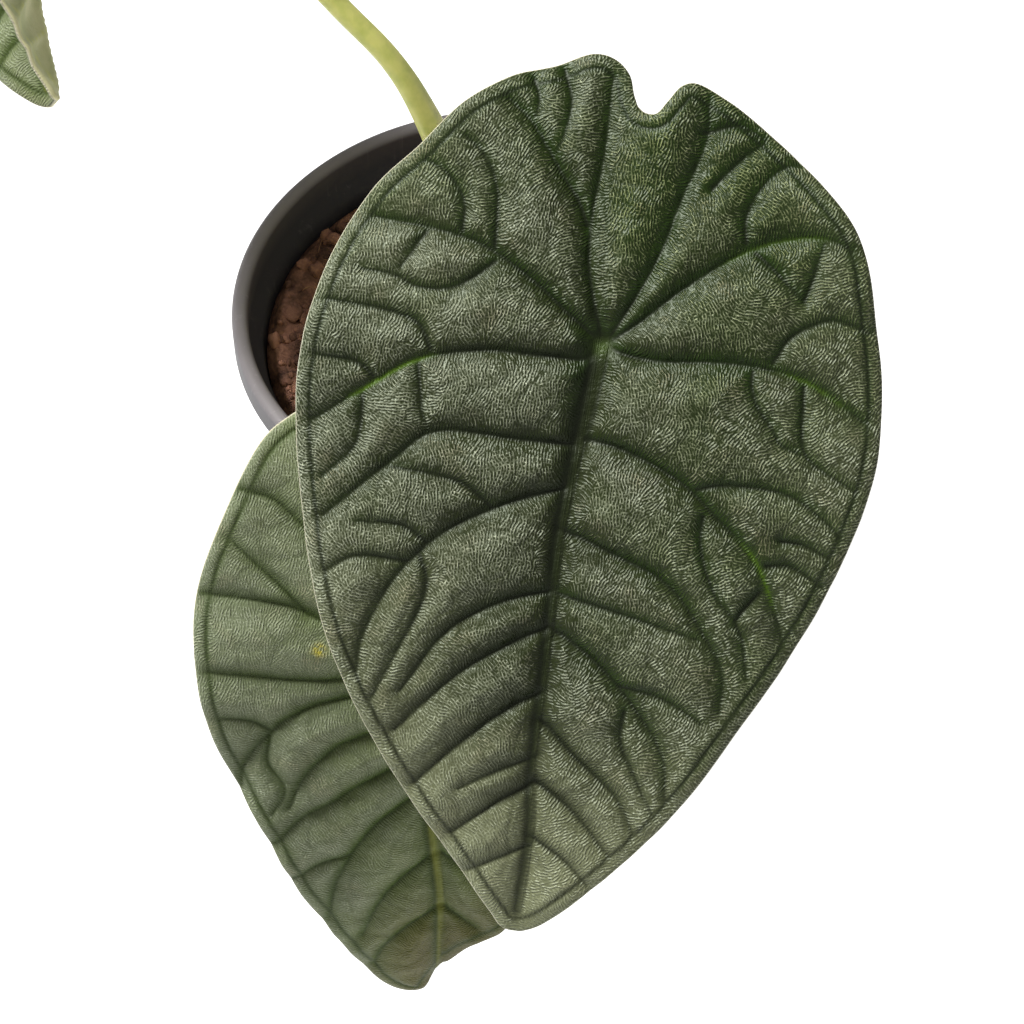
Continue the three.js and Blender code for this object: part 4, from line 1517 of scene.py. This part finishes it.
@dataclass
class Stem:
    """The short stem, ringed by old leaf scars, with papery scraps of sheath round its top."""

    section: FlatPath = ((6.5, 70), (8, 72), (8.5, 88), (8.7, SOIL_LEVEL), (9.4, 96.4), (9, STEM_TOP))
    bare: float = 1.5
    scar_spacing: float = 2.7
    scar_width: float = 0.12
    scar_depth: float = 0.45
    scar_tilt: float = 0.5
    roughness: float = 0.14
    rough_radius: float = 9.0
    rough_wave: float = 4.0
    rough_seed: int = 21
    scraps: float = 0.2
    scrap_count: int = 6
    cap_rings: tuple[float, ...] = (0.8, 0.55, 0.3, 0.1)
    cap_sink: float = 0.5
    cap_rough: float = 0.25
    cap_wave: float = 3.0
    cap_seed: int = 33
    cap_scar: float = 0.6
    sides: int = 96
    rows: int = 90

    def build(self, bark: bpy.types.Material) -> bpy.types.Object:
        """Builds the stem as one closed mesh.

        Args:
            bark: Its finish.

        Returns:
            The stem.
        """
        radii, levels = np.array(self.section, float).T
        level = np.linspace(levels[0], levels[-1], self.rows)[:, None]
        radius = np.interp(level, levels, radii)
        around = steps_round(self.sides)[None, :]
        ring = (level - levels[0] + self.scar_tilt * np.sin(around + 1.0)) / self.scar_spacing
        scar = bell(ring % 1.0 - 0.5, self.scar_width)
        places = round_axis(self.rough_radius, around, level).reshape(-1, 3)
        rough = swell(places, self.rough_wave, self.rough_seed).reshape(scar.shape)
        ragged = np.sin(self.scrap_count * around + 2 * rough)
        ragged = smoothstep(level, SOIL_LEVEL + self.bare, STEM_TOP) * ragged
        radius = radius - self.scar_depth * scar + self.roughness * rough + self.scraps * ragged
        points = round_axis(radius, around, level).reshape(-1, 3)
        faces = ring_faces(self.rows, self.sides)
        caps, scar_cap = self._cap(points[-self.sides:], len(points))
        faces += caps
        faces.append(range(self.sides)[::-1])
        points = np.vstack([points, scar_cap])
        blank = np.zeros(len(scar_cap))
        values = {
            "scar": np.concatenate([scar.ravel(), blank + self.cap_scar]),
            "paper": np.concatenate([np.clip(ragged, 0, 1).ravel(), blank]),
        }
        piece = make_piece("stem_crown", points, faces, [bark], values)
        dress(piece, "stem")
        return piece

    def _cap(self, rim: Points, start: int) -> tuple[Faces, Points]:
        """Closes the top with shrinking rings round an uneven, slightly sunken middle.

        Args:
            rim: The points of the last ring below.
            start: Index of the first new point.

        Returns:
            The new faces and points.
        """
        rings = []
        for share in self.cap_rings:
            ring = rim * (share, share, 1.0)
            rough = self.cap_rough * np.abs(swell(ring, self.cap_wave, self.cap_seed))
            ring[:, 2] -= self.cap_sink * (1 - share) + rough
            rings.append(ring)
        faces = ring_faces(len(rings) + 1, self.sides, start - self.sides)
        last = start + (len(rings) - 1) * self.sides
        faces.append(range(last, last + self.sides))
        return faces, np.vstack(rings)


@dataclass
class Soil:
    """The potting mix: a crumbly top, loose crumbs and a few coir fibres."""

    bottom: float = 3.3
    bottom_radius: float = 41.0
    top_radius: float = 52.9
    hole_radius: float = 9.9
    hole_bottom: float = 69.7
    mound: float = 3.0
    mound_start: tuple[float, float] = (12.0, 22.0)
    mound_end: float = 50.5
    lumps: float = 1.1
    lumps_end: float = 46.0
    grit: float = 1.5
    grit_wave: float = 5.5
    grit_slice: float = 3.1
    grit_octaves: int = 4
    grit_sink: float = 0.2
    grit_at_wall: float = 0.35
    spacing: float = 0.8
    jitter: float = 0.25
    half_side: float = 55.0
    rooms: tuple[float, float] = (0.4, 0.7)
    sides: int = 180
    hole_sides: int = 45
    scatter_start: float = 12.0
    scatter_room: float = 1.8
    crumbs: int = 950
    crumb_size: tuple[float, float] = (0.55, 1.5)
    crumb_least: Place = (0.75, 0.75, 0.55)
    crumb_most: Place = (1.25, 1.25, 0.95)
    crumb_lumps: float = 0.28
    crumb_wave: float = 1.6
    crumb_rise: float = 0.25
    crumb_tones: tuple[float, float] = (-0.5, 0.9)
    fibres: int = 130
    fibre_curl: float = 0.9
    fibre_length: tuple[float, float] = (3.0, 9.0)
    fibre_radius: tuple[float, float] = (0.1, 0.22)
    fibre_rise: tuple[float, float] = (0.35, 0.8)
    fibre_room: float = 1.2
    fibre_tone: float = 0.75
    fibre_steps: int = 10
    fibre_sides: int = 5
    seed: int = 4

    def level(self, flat: Points) -> Points:
        """Height of the uneven top at flat points.

        Args:
            flat: The flat points.

        Returns:
            The heights.
        """
        x, y = flat.T
        lumps = np.sin(0.31 * x + 1.3) * np.cos(0.27 * y) + 0.6 * np.sin(0.53 * x - 0.41 * y + 0.5)
        far = np.hypot(x, y)
        reach = 1 - smoothstep(far, self.lumps_end, self.top_radius)
        mound = smoothstep(far, *self.mound_start) * (1 - smoothstep(far, self.mound_end, self.top_radius))
        places = np.column_stack([flat / self.grit_wave, np.full(len(flat), self.grit_slice)])
        grit = np.array([noise.turbulence(place, self.grit_octaves, False) for place in places])
        grit = (grit - self.grit_sink) * (self.grit_at_wall + (1 - self.grit_at_wall) * reach)
        return SOIL_LEVEL + self.mound * mound + self.lumps * lumps * reach + self.grit * grit

    def surface(self) -> tuple[Points, Faces]:
        """The closed body of the mix with its hole for the stem.

        Returns:
            Its points and faces.
        """
        sides = self.sides
        circle = round_axis(1, steps_round(sides), 0)[:, :2]
        row = slice(-self.half_side, self.half_side, self.spacing)
        grid = np.stack(np.mgrid[row, row], axis=-1).reshape(-1, 2)
        draw = np.random.default_rng(self.seed)
        grid = grid + draw.uniform(-self.jitter, self.jitter, grid.shape) * self.spacing
        far = np.hypot(*grid.T)
        fill = grid[(far > self.hole_radius + self.rooms[0]) & (far < self.top_radius - self.rooms[1])]
        outer, inner = circle * self.top_radius, circle[::sides // self.hole_sides] * self.hole_radius
        flat = np.vstack([outer, inner, fill])
        count = len(inner)
        wall, hole = loop_edges(sides), loop_edges(count, sides)
        triangles = triangulated(flat, wall + hole)
        from_middle = np.hypot(*flat[triangles].mean(axis=1).T)
        faces = triangles[from_middle > self.hole_radius * 0.98].tolist()
        top = np.column_stack([flat, self.level(flat)])
        low_outer = np.column_stack([circle * self.bottom_radius, np.full(sides, self.bottom)])
        low_inner = np.column_stack([inner, np.full(count, self.hole_bottom)])
        start = len(top)
        faces += [(side, start + side, start + beside, beside) for side, beside in wall]
        faces += [(side, beside, start + beside, start + side) for side, beside in hole]
        faces.append(range(start, start + sides)[::-1])
        faces.append(range(start + sides, start + sides + count))
        return np.vstack([top, low_outer, low_inner]), faces

    def scattered(self, draw: np.random.Generator, count: int) -> Points:
        """Random flat places on the top, clear of the wall and the stem.

        Args:
            draw: Where chance comes from.
            count: How many places are wanted.

        Returns:
            The places.
        """
        around = draw.uniform(0, 2 * np.pi, count)
        end = self.top_radius - self.scatter_room
        far = np.sqrt(draw.uniform(self.scatter_start**2, end**2, count))
        return round_axis(far, around, 0)[:, :2]

    def crumb_meshes(self, draw: np.random.Generator) -> tuple[Points, Faces, Points]:
        """Loose crumbs, half sunk into the top, with a tone for each point.

        Args:
            draw: Where chance comes from.

        Returns:
            Their points, faces and tones.
        """
        ball = bmesh.new()
        bmesh.ops.create_icosphere(ball, subdivisions=2, radius=1.0)
        shape = np.array([vertex.co[:] for vertex in ball.verts])
        corners = [tuple(vertex.index for vertex in face.verts) for face in ball.faces]
        ball.free()
        places = self.scattered(draw, self.crumbs)
        levels = self.level(places)
        points, faces, tones = [], [], []
        for index, (place, level) in enumerate(zip(places, levels)):
            least, more = self.crumb_size
            size = least + more * draw.uniform() ** 3
            lump = shape * (1 + self.crumb_lumps * swell(shape, self.crumb_wave, index)[:, None])
            lump = lump * draw.uniform(self.crumb_least, self.crumb_most) * size
            points.append(lump + (*place, level + self.crumb_rise * size))
            faces += shifted(corners, index * len(shape))
            tones.append(np.full(len(shape), draw.uniform(*self.crumb_tones)))
        return np.vstack(points), faces, np.concatenate(tones)

    def fibre_meshes(self, draw: np.random.Generator) -> tuple[Points, Faces]:
        """Short curled fibres lying on the top.

        Args:
            draw: Where chance comes from.

        Returns:
            Their points and faces.
        """
        steps, sides = self.fibre_steps, self.fibre_sides
        upward = np.tile((0, 0, 1.0), (steps, 1))
        points, faces = [], []
        for index, place in enumerate(self.scattered(draw, self.fibres)):
            way, curl = draw.uniform(0, 2 * np.pi), draw.normal(0, self.fibre_curl)
            length = draw.uniform(*self.fibre_length)
            share = np.linspace(0, 1, steps)
            heading = way + curl * share
            ahead = round_axis(1, heading, 0)[:, :2]
            flat = place + np.cumsum(ahead, axis=0) * length / steps
            flat *= np.minimum(1, (self.top_radius - self.fibre_room) / np.hypot(*flat.T))[:, None]
            lying, arched = self.fibre_rise
            lift = self.level(flat) + lying + arched * np.sin(np.pi * share) * draw.uniform(0, 1)
            radius = draw.uniform(*self.fibre_radius) * np.sqrt(1.02 - (2 * share - 1) ** 2)
            across = np.stack([-np.sin(heading), np.cos(heading), np.zeros(steps)], axis=1)
            radii = np.repeat(radius[:, None], sides, axis=1)
            points.append(round_line(np.column_stack([flat, lift]), across, upward, radii))
            faces += closed_faces(steps, sides, index * steps * sides)
        return np.vstack(points), faces

    def build(self, mix: bpy.types.Material) -> bpy.types.Object:
        """Builds the mix with its crumbs and fibres as one piece.

        Args:
            mix: Its finish.

        Returns:
            The piece.
        """
        draw = np.random.default_rng(self.seed)
        body, faces = self.surface()
        crumbs, crumb_faces, tones = self.crumb_meshes(draw)
        fibres, fibre_faces = self.fibre_meshes(draw)
        faces += shifted(crumb_faces, len(body)) + shifted(fibre_faces, len(body) + len(crumbs))
        values = {
            "tone": np.concatenate([np.zeros(len(body)), tones, np.zeros(len(fibres))]),
            "fibre": np.repeat([0, 0, self.fibre_tone], [len(body), len(crumbs), len(fibres)]),
        }
        piece = make_piece("potting_mix", np.vstack([body, crumbs, fibres]), faces, [mix], values)
        dress(piece, "soil")
        return piece


@dataclass
class Pot:
    """The round tapered nursery pot, with its rolled rim, foot ring and drain holes."""

    height: float = 105.0
    rim_radius: float = 60.0
    rim_height: float = 8.5
    rim_wall: float = 3.6
    rim_round: float = 1.7
    shoulder_radius: float = 55.6
    base_radius: float = 43.0
    foot: FlatPath = (
        (0, 0.35), (14, 0.35), (34, 0.35), (39.6, 0.35), (40.4, 0), (41.7, 0), (42.5, 0.35), (43, 1.3),
    )
    shoulder: FlatPath = ((55.9, 96.25), (56.8, 96.6), (58.9, 96.8), (59.65, 97.25), (59.95, 98.1))
    wall: float = 1.7
    wall_rows: int = 14
    wall_levels: tuple[float, float] = (1.5, 95.7)
    ledge: float = 1.2
    floor: float = 3.0
    floor_round: tuple[float, float] = (0.8, 1.2)
    floor_ring: float = 20.0
    drains: int = 6
    drain_radius: float = 4.0
    drain_circle: float = 27.0
    worn_rim: float = 2.5
    worn_foot: float = 3.0
    foot_inside: float = 38.0
    sides: int = 192

    def inner_radius(self, level: Points | float) -> Points | float:
        """Radius of the inner wall at a height."""
        rise = (level - self.floor) / (self.height - self.rim_height - self.floor)
        return self.base_radius + (self.shoulder_radius - self.base_radius) * rise - self.wall

    def profile(self) -> Points:
        """The section from the middle of the underside, up the outside and down the inside.

        Returns:
            Radius and height of its points.
        """
        rim_bottom = self.height - self.rim_height
        low, high = self.wall_levels
        share = np.linspace(0.03, 1, self.wall_rows)
        taper = self.shoulder_radius - self.base_radius
        outside = np.column_stack([self.base_radius + taper * share, low + (high - low) * share])
        turn = self.rim_round
        middles = ((self.rim_radius - turn, 0), (self.rim_radius - self.rim_wall + turn, 90))
        lip = [
            (middle + turn * math.cos(angle), self.height - turn + turn * math.sin(angle))
            for middle, begin in middles
            for angle in np.radians(np.arange(begin, begin + 91, 10))
        ]
        lip.append((self.rim_radius - self.rim_wall, rim_bottom + self.ledge))
        inset, rise = self.floor_round
        levels = np.linspace(rim_bottom - 1, self.floor + rise, self.wall_rows)
        inside = np.column_stack([self.inner_radius(levels), levels])
        radii = (self.inner_radius(self.floor) - inset, self.floor_ring, 0)
        bottom = [(radius, self.floor) for radius in radii]
        return np.vstack([self.foot, outside, self.shoulder, lip, inside, bottom])

    def build(self, plastic: bpy.types.Material) -> bpy.types.Object:
        """Builds the pot by turning its section, then cuts its drain holes.

        Args:
            plastic: Its finish.

        Returns:
            The pot.
        """
        profile = self.profile()
        radius, level = profile[1:-1].T
        rings = round_axis(radius[:, None], steps_round(self.sides), level[:, None])
        points = np.vstack([rings.reshape(-1, 3), [[0, 0, profile[0, 1]], [0, 0, profile[-1, 1]]]])
        faces = ring_faces(len(radius), self.sides)
        count = len(points)
        last = count - 2 - self.sides
        for side, beside in loop_edges(self.sides):
            faces += [(beside, side, count - 2), (last + side, last + beside, count - 1)]
        far = np.hypot(points[:, 0], points[:, 1])
        high = points[:, 2]
        worn = smoothstep(high, self.height - self.worn_rim, self.height)
        worn += (1 - smoothstep(high, 0, self.worn_foot)) * (far > self.foot_inside)
        piece = make_piece("nursery_pot", points, faces, [plastic], {"worn": np.clip(worn, 0, 1)})
        self._drill(piece)
        dress(piece, "pot")
        return piece

    def _drill(self, piece: bpy.types.Object) -> None:
        """Cuts the drain holes through the floor.

        Args:
            piece: The pot.
        """
        tools = bmesh.new()
        radius = self.drain_radius * MM
        for step in range(self.drains):
            angle = 2 * math.pi * step / self.drains
            centre = Vector((math.cos(angle), math.sin(angle), 0)) * self.drain_circle
            centre.z = self.floor / 2
            bmesh.ops.create_cone(
                tools, cap_ends=True, segments=32, radius1=radius, radius2=radius,
                depth=(self.floor + 4) * MM, matrix=Matrix.Translation(centre * MM),
            )
        mesh = bpy.data.meshes.new("drains")
        tools.to_mesh(mesh)
        tools.free()
        cutter = bpy.data.objects.new("drains", mesh)
        bpy.context.scene.collection.objects.link(cutter)
        cut = piece.modifiers.new("drains", "BOOLEAN")
        cut.object = cutter
        cut.operation = "DIFFERENCE"
        cut.solver = "EXACT"
        bpy.context.view_layer.update()
        done = bpy.data.meshes.new_from_object(piece.evaluated_get(bpy.context.evaluated_depsgraph_get()))
        piece.modifiers.clear()
        piece.data = done
        bpy.data.objects.remove(cutter)


@dataclass(frozen=True)
class Studio:
    """The pale floor, the soft light and the camera."""

    eye: Place = (0.0, -0.67146, 0.84604)
    right: Place = (0.99939552, -0.02727091, -0.02156148)
    above: Place = (0.03475793, 0.77136479, 0.63544335)
    focal_pixels: float = 4503.0
    frame_pixels: float = 1024.0
    sensor: float = 36.0
    floor_size: float = 6.0
    sky_strength: float = 0.24
    key_power: float = 66.0
    key_place: Place = (-0.885, 0.214, 1.6)
    key_size: float = 0.5
    fill_power: float = 0.8
    fill_size: float = 1.0
    fill_place: Place = (0.9, -0.7, 0.7)
    lit_place: Place = (0.0, -0.09, 0.18)

    def build(self) -> None:
        """Builds everything round the plant."""
        self._floor()
        self._sky()
        self._lamp("window", self.key_place, self.key_size, self.key_power)
        self._lamp("fill", self.fill_place, self.fill_size, self.fill_power)
        self._camera()
        bpy.context.scene.view_settings.view_transform = "Standard"

    def _floor(self) -> None:
        """Lays the floor."""
        half = self.floor_size / 2 / MM
        corners = np.array([(-half, -half, 0), (half, -half, 0), (half, half, 0), (-half, half, 0)], float)
        floor = make_piece("floor", corners, [(0, 1, 2, 3)], [PaleFloor().material()], {})

    def _sky(self) -> None:
        """Surrounds the plant with even white light."""
        world = bpy.data.worlds.new("sky")
        world.use_nodes = True
        background = world.node_tree.nodes["Background"]
        background.inputs["Color"].default_value = (1.0, 0.995, 0.98, 1.0)
        background.inputs["Strength"].default_value = self.sky_strength
        bpy.context.scene.world = world

    def _lamp(self, name: str, place: Place, size: float, power: float) -> None:
        """Hangs a square soft lamp that faces the leaves.

        Args:
            name: Its name.
            place: Where it hangs.
            size: Length of its side.
            power: Its power in watts.
        """
        light = bpy.data.lights.new(name, "AREA")
        light.size = size
        light.energy = power
        lamp = bpy.data.objects.new(name, light)
        lamp.location = place
        aim = Vector(self.lit_place) - Vector(place)
        lamp.rotation_euler = aim.to_track_quat("-Z", "Y").to_euler()
        bpy.context.scene.collection.objects.link(lamp)

    def _camera(self) -> None:
        """Sets the camera where the photograph was taken from."""
        lens = bpy.data.cameras.new("camera")
        lens.sensor_width = self.sensor
        lens.lens = self.focal_pixels / self.frame_pixels * self.sensor
        lens.clip_start = 0.05
        camera = bpy.data.objects.new("camera", lens)
        right, above = Vector(self.right), Vector(self.above)
        axes = Matrix((right, above, right.cross(above))).transposed().to_4x4()
        camera.matrix_world = Matrix.Translation(self.eye) @ axes
        bpy.context.scene.collection.objects.link(camera)
        bpy.context.scene.camera = camera


def front_sheen_and_shade(flat: Points) -> Points:
    """Painted sheen and shade on the front leaf: greyer with painted sheen to the left of its midrib and
    towards its tip, greener and darker with painted shade to the right, towards the sinus and in the neck
    under it.

    Args:
        flat: Flat points.

    Returns:
        How much greener than grey, and darker with painted shade, the leaf is there.
    """
    x, y = flat.T
    neck = 0.6 * np.exp(-(((x - 4) / 8) ** 2) - ((y - 27) / 16) ** 2)
    right = 0.5 * smoothstep(x, -12, 25) - 0.5 * smoothstep(-y, 50, 105)
    return -0.3 + right + 0.5 * smoothstep(y, -15, 35) + neck


def lower_lushness(flat: Points) -> Points:
    """The lower leaf is greener towards its midrib and tip."""
    x, y = flat.T
    return -0.3 + 0.55 * smoothstep(x, -38, 0) + 0.35 * smoothstep(-y, 20, 90)


def front_painted_sheen(flat: Points) -> Points:
    """Painted sheen on the front leaf: paler towards its tip and a little along both sides.

    Args:
        flat: Flat points.

    Returns:
        How pale the leaf is there.
    """
    x, y = flat.T
    tip = 0.45 * smoothstep(-y, 60, 112) + 0.12 * smoothstep(-x, 8, 30) * smoothstep(-y, 30, 60)
    right = 0.06 * smoothstep(x, 24, 44) + 0.05 * np.exp(-(((x - 22) / 10) ** 2) - ((y + 54) / 14) ** 2)
    return tip + right + 0.04 * smoothstep(-x, 16, 34) * smoothstep(y, -12, 8)


def lower_fading(flat: Points) -> Points:
    """The lower leaf has begun to turn brown at its tip and to the right of its midrib."""
    x, y = flat.T
    return 0.9 * smoothstep(-y, 52, 86) * smoothstep(x, -24, -2)


def back_lushness(flat: Points) -> Points:
    """The back leaf is evenly grey."""
    return np.full(len(flat), -0.1)


def back_fading(flat: Points) -> Points:
    """The back leaf has faded a little at its tip."""
    return 0.2 * smoothstep(-flat[:, 1], 70, 100)


# The lower and back leaves wear a paler, flatter copy of the upper skin: partly their own olive colour,
# partly painted light for the downturned lower blade, which the lamp lights less.
LOWER_SKIN = QuiltedSkin(
    name="leaf_upper_lower",
    spread=0.6,
    faded_and_sheen=srgb(78, 71, 22),
    crest=srgb(162, 168, 144),
    crest_green=srgb(146, 154, 112),
    crest_warm=srgb(168, 156, 118),
    trough=srgb(98, 105, 80),
    trough_green=srgb(90, 101, 56),
    shaded_bank=srgb(50, 62, 30),
    shaded_bank_green=srgb(46, 66, 16),
    vein=srgb(38, 48, 18),
    cord=srgb(120, 122, 48),
    gloss=0.12,
    wrinkle_height=0.0004,
)

LEAVES = (
    Leaf(
        number=1,
        pattern=FRONT_PATTERN,
        hub=(18.6, -120.2, 224.8),
        tip=(-0.183, -0.733, -0.656),
        face=(-0.022, -0.664, 0.748),
        fold=6.0,
        side_bend=0.0045,
        end_bend=0.0022,
        petiole=((3.7, -3.5), (4.3, -6, 108), (7, -22, 134), (11, -56, 171), (15.5, -91, 200)),
        lushness_and_shade=front_sheen_and_shade,
        fading_and_sheen=front_painted_sheen,
    ),
    Leaf(
        number=2,
        pattern=LOWER_PATTERN,
        hub=(-18.5, -118.2, 129.3),
        tip=(0.029, -0.427, -0.904),
        face=(0.038, -0.903, 0.428),
        fold=6.0,
        side_bend=0.005,
        end_bend=0.0056,
        petiole=(
            (-4.6, -3.9), (-5.2, -6, 107), (-8, -24, 130), (-12, -55, 146), (-16, -86, 141),
            (-18.4, -103, 128.5),
        ),
        lushness_and_shade=lower_lushness,
        fading_and_sheen=lower_fading,
        finish=LOWER_SKIN,
    ),
    Leaf(
        number=3,
        pattern=FRONT_PATTERN.flipped(0.86),
        hub=(-98, 59, 243),
        tip=(-0.06, -0.92, -0.39),
        face=(-0.9, -0.1, 0.42),
        fold=40.0,
        side_bend=0.004,
        end_bend=0.003,
        petiole=(
            (-1, 5.6), (-2, 6.2, 108), (-14.7, 11.8, 151.4), (-21.6, 15.3, 165.2), (-33.5, 21.3, 178),
            (-65, 40, 212),
        ),
        lushness_and_shade=back_lushness,
        fading_and_sheen=back_fading,
        finish=LOWER_SKIN,
    ),
)


def main() -> None:
    """Builds the pot, the plant and the studio."""
    logging.basicConfig(level=logging.INFO, format="%(message)s")
    Pot().build(PotPlastic().material())
    Soil().build(CoirMix().material())
    Stem().build(StemBark().material())
    underside = PaleUnderside().material()
    stalk = PetioleSkin().material()
    skins = {}
    for leaf in LEAVES:
        if leaf.finish not in skins:
            skins[leaf.finish] = leaf.finish.material()
        Petiole(leaf).build(stalk)
        leaf.build_blade(skins[leaf.finish], underside)
    Studio().build()


if __name__ == "__main__":
    main()
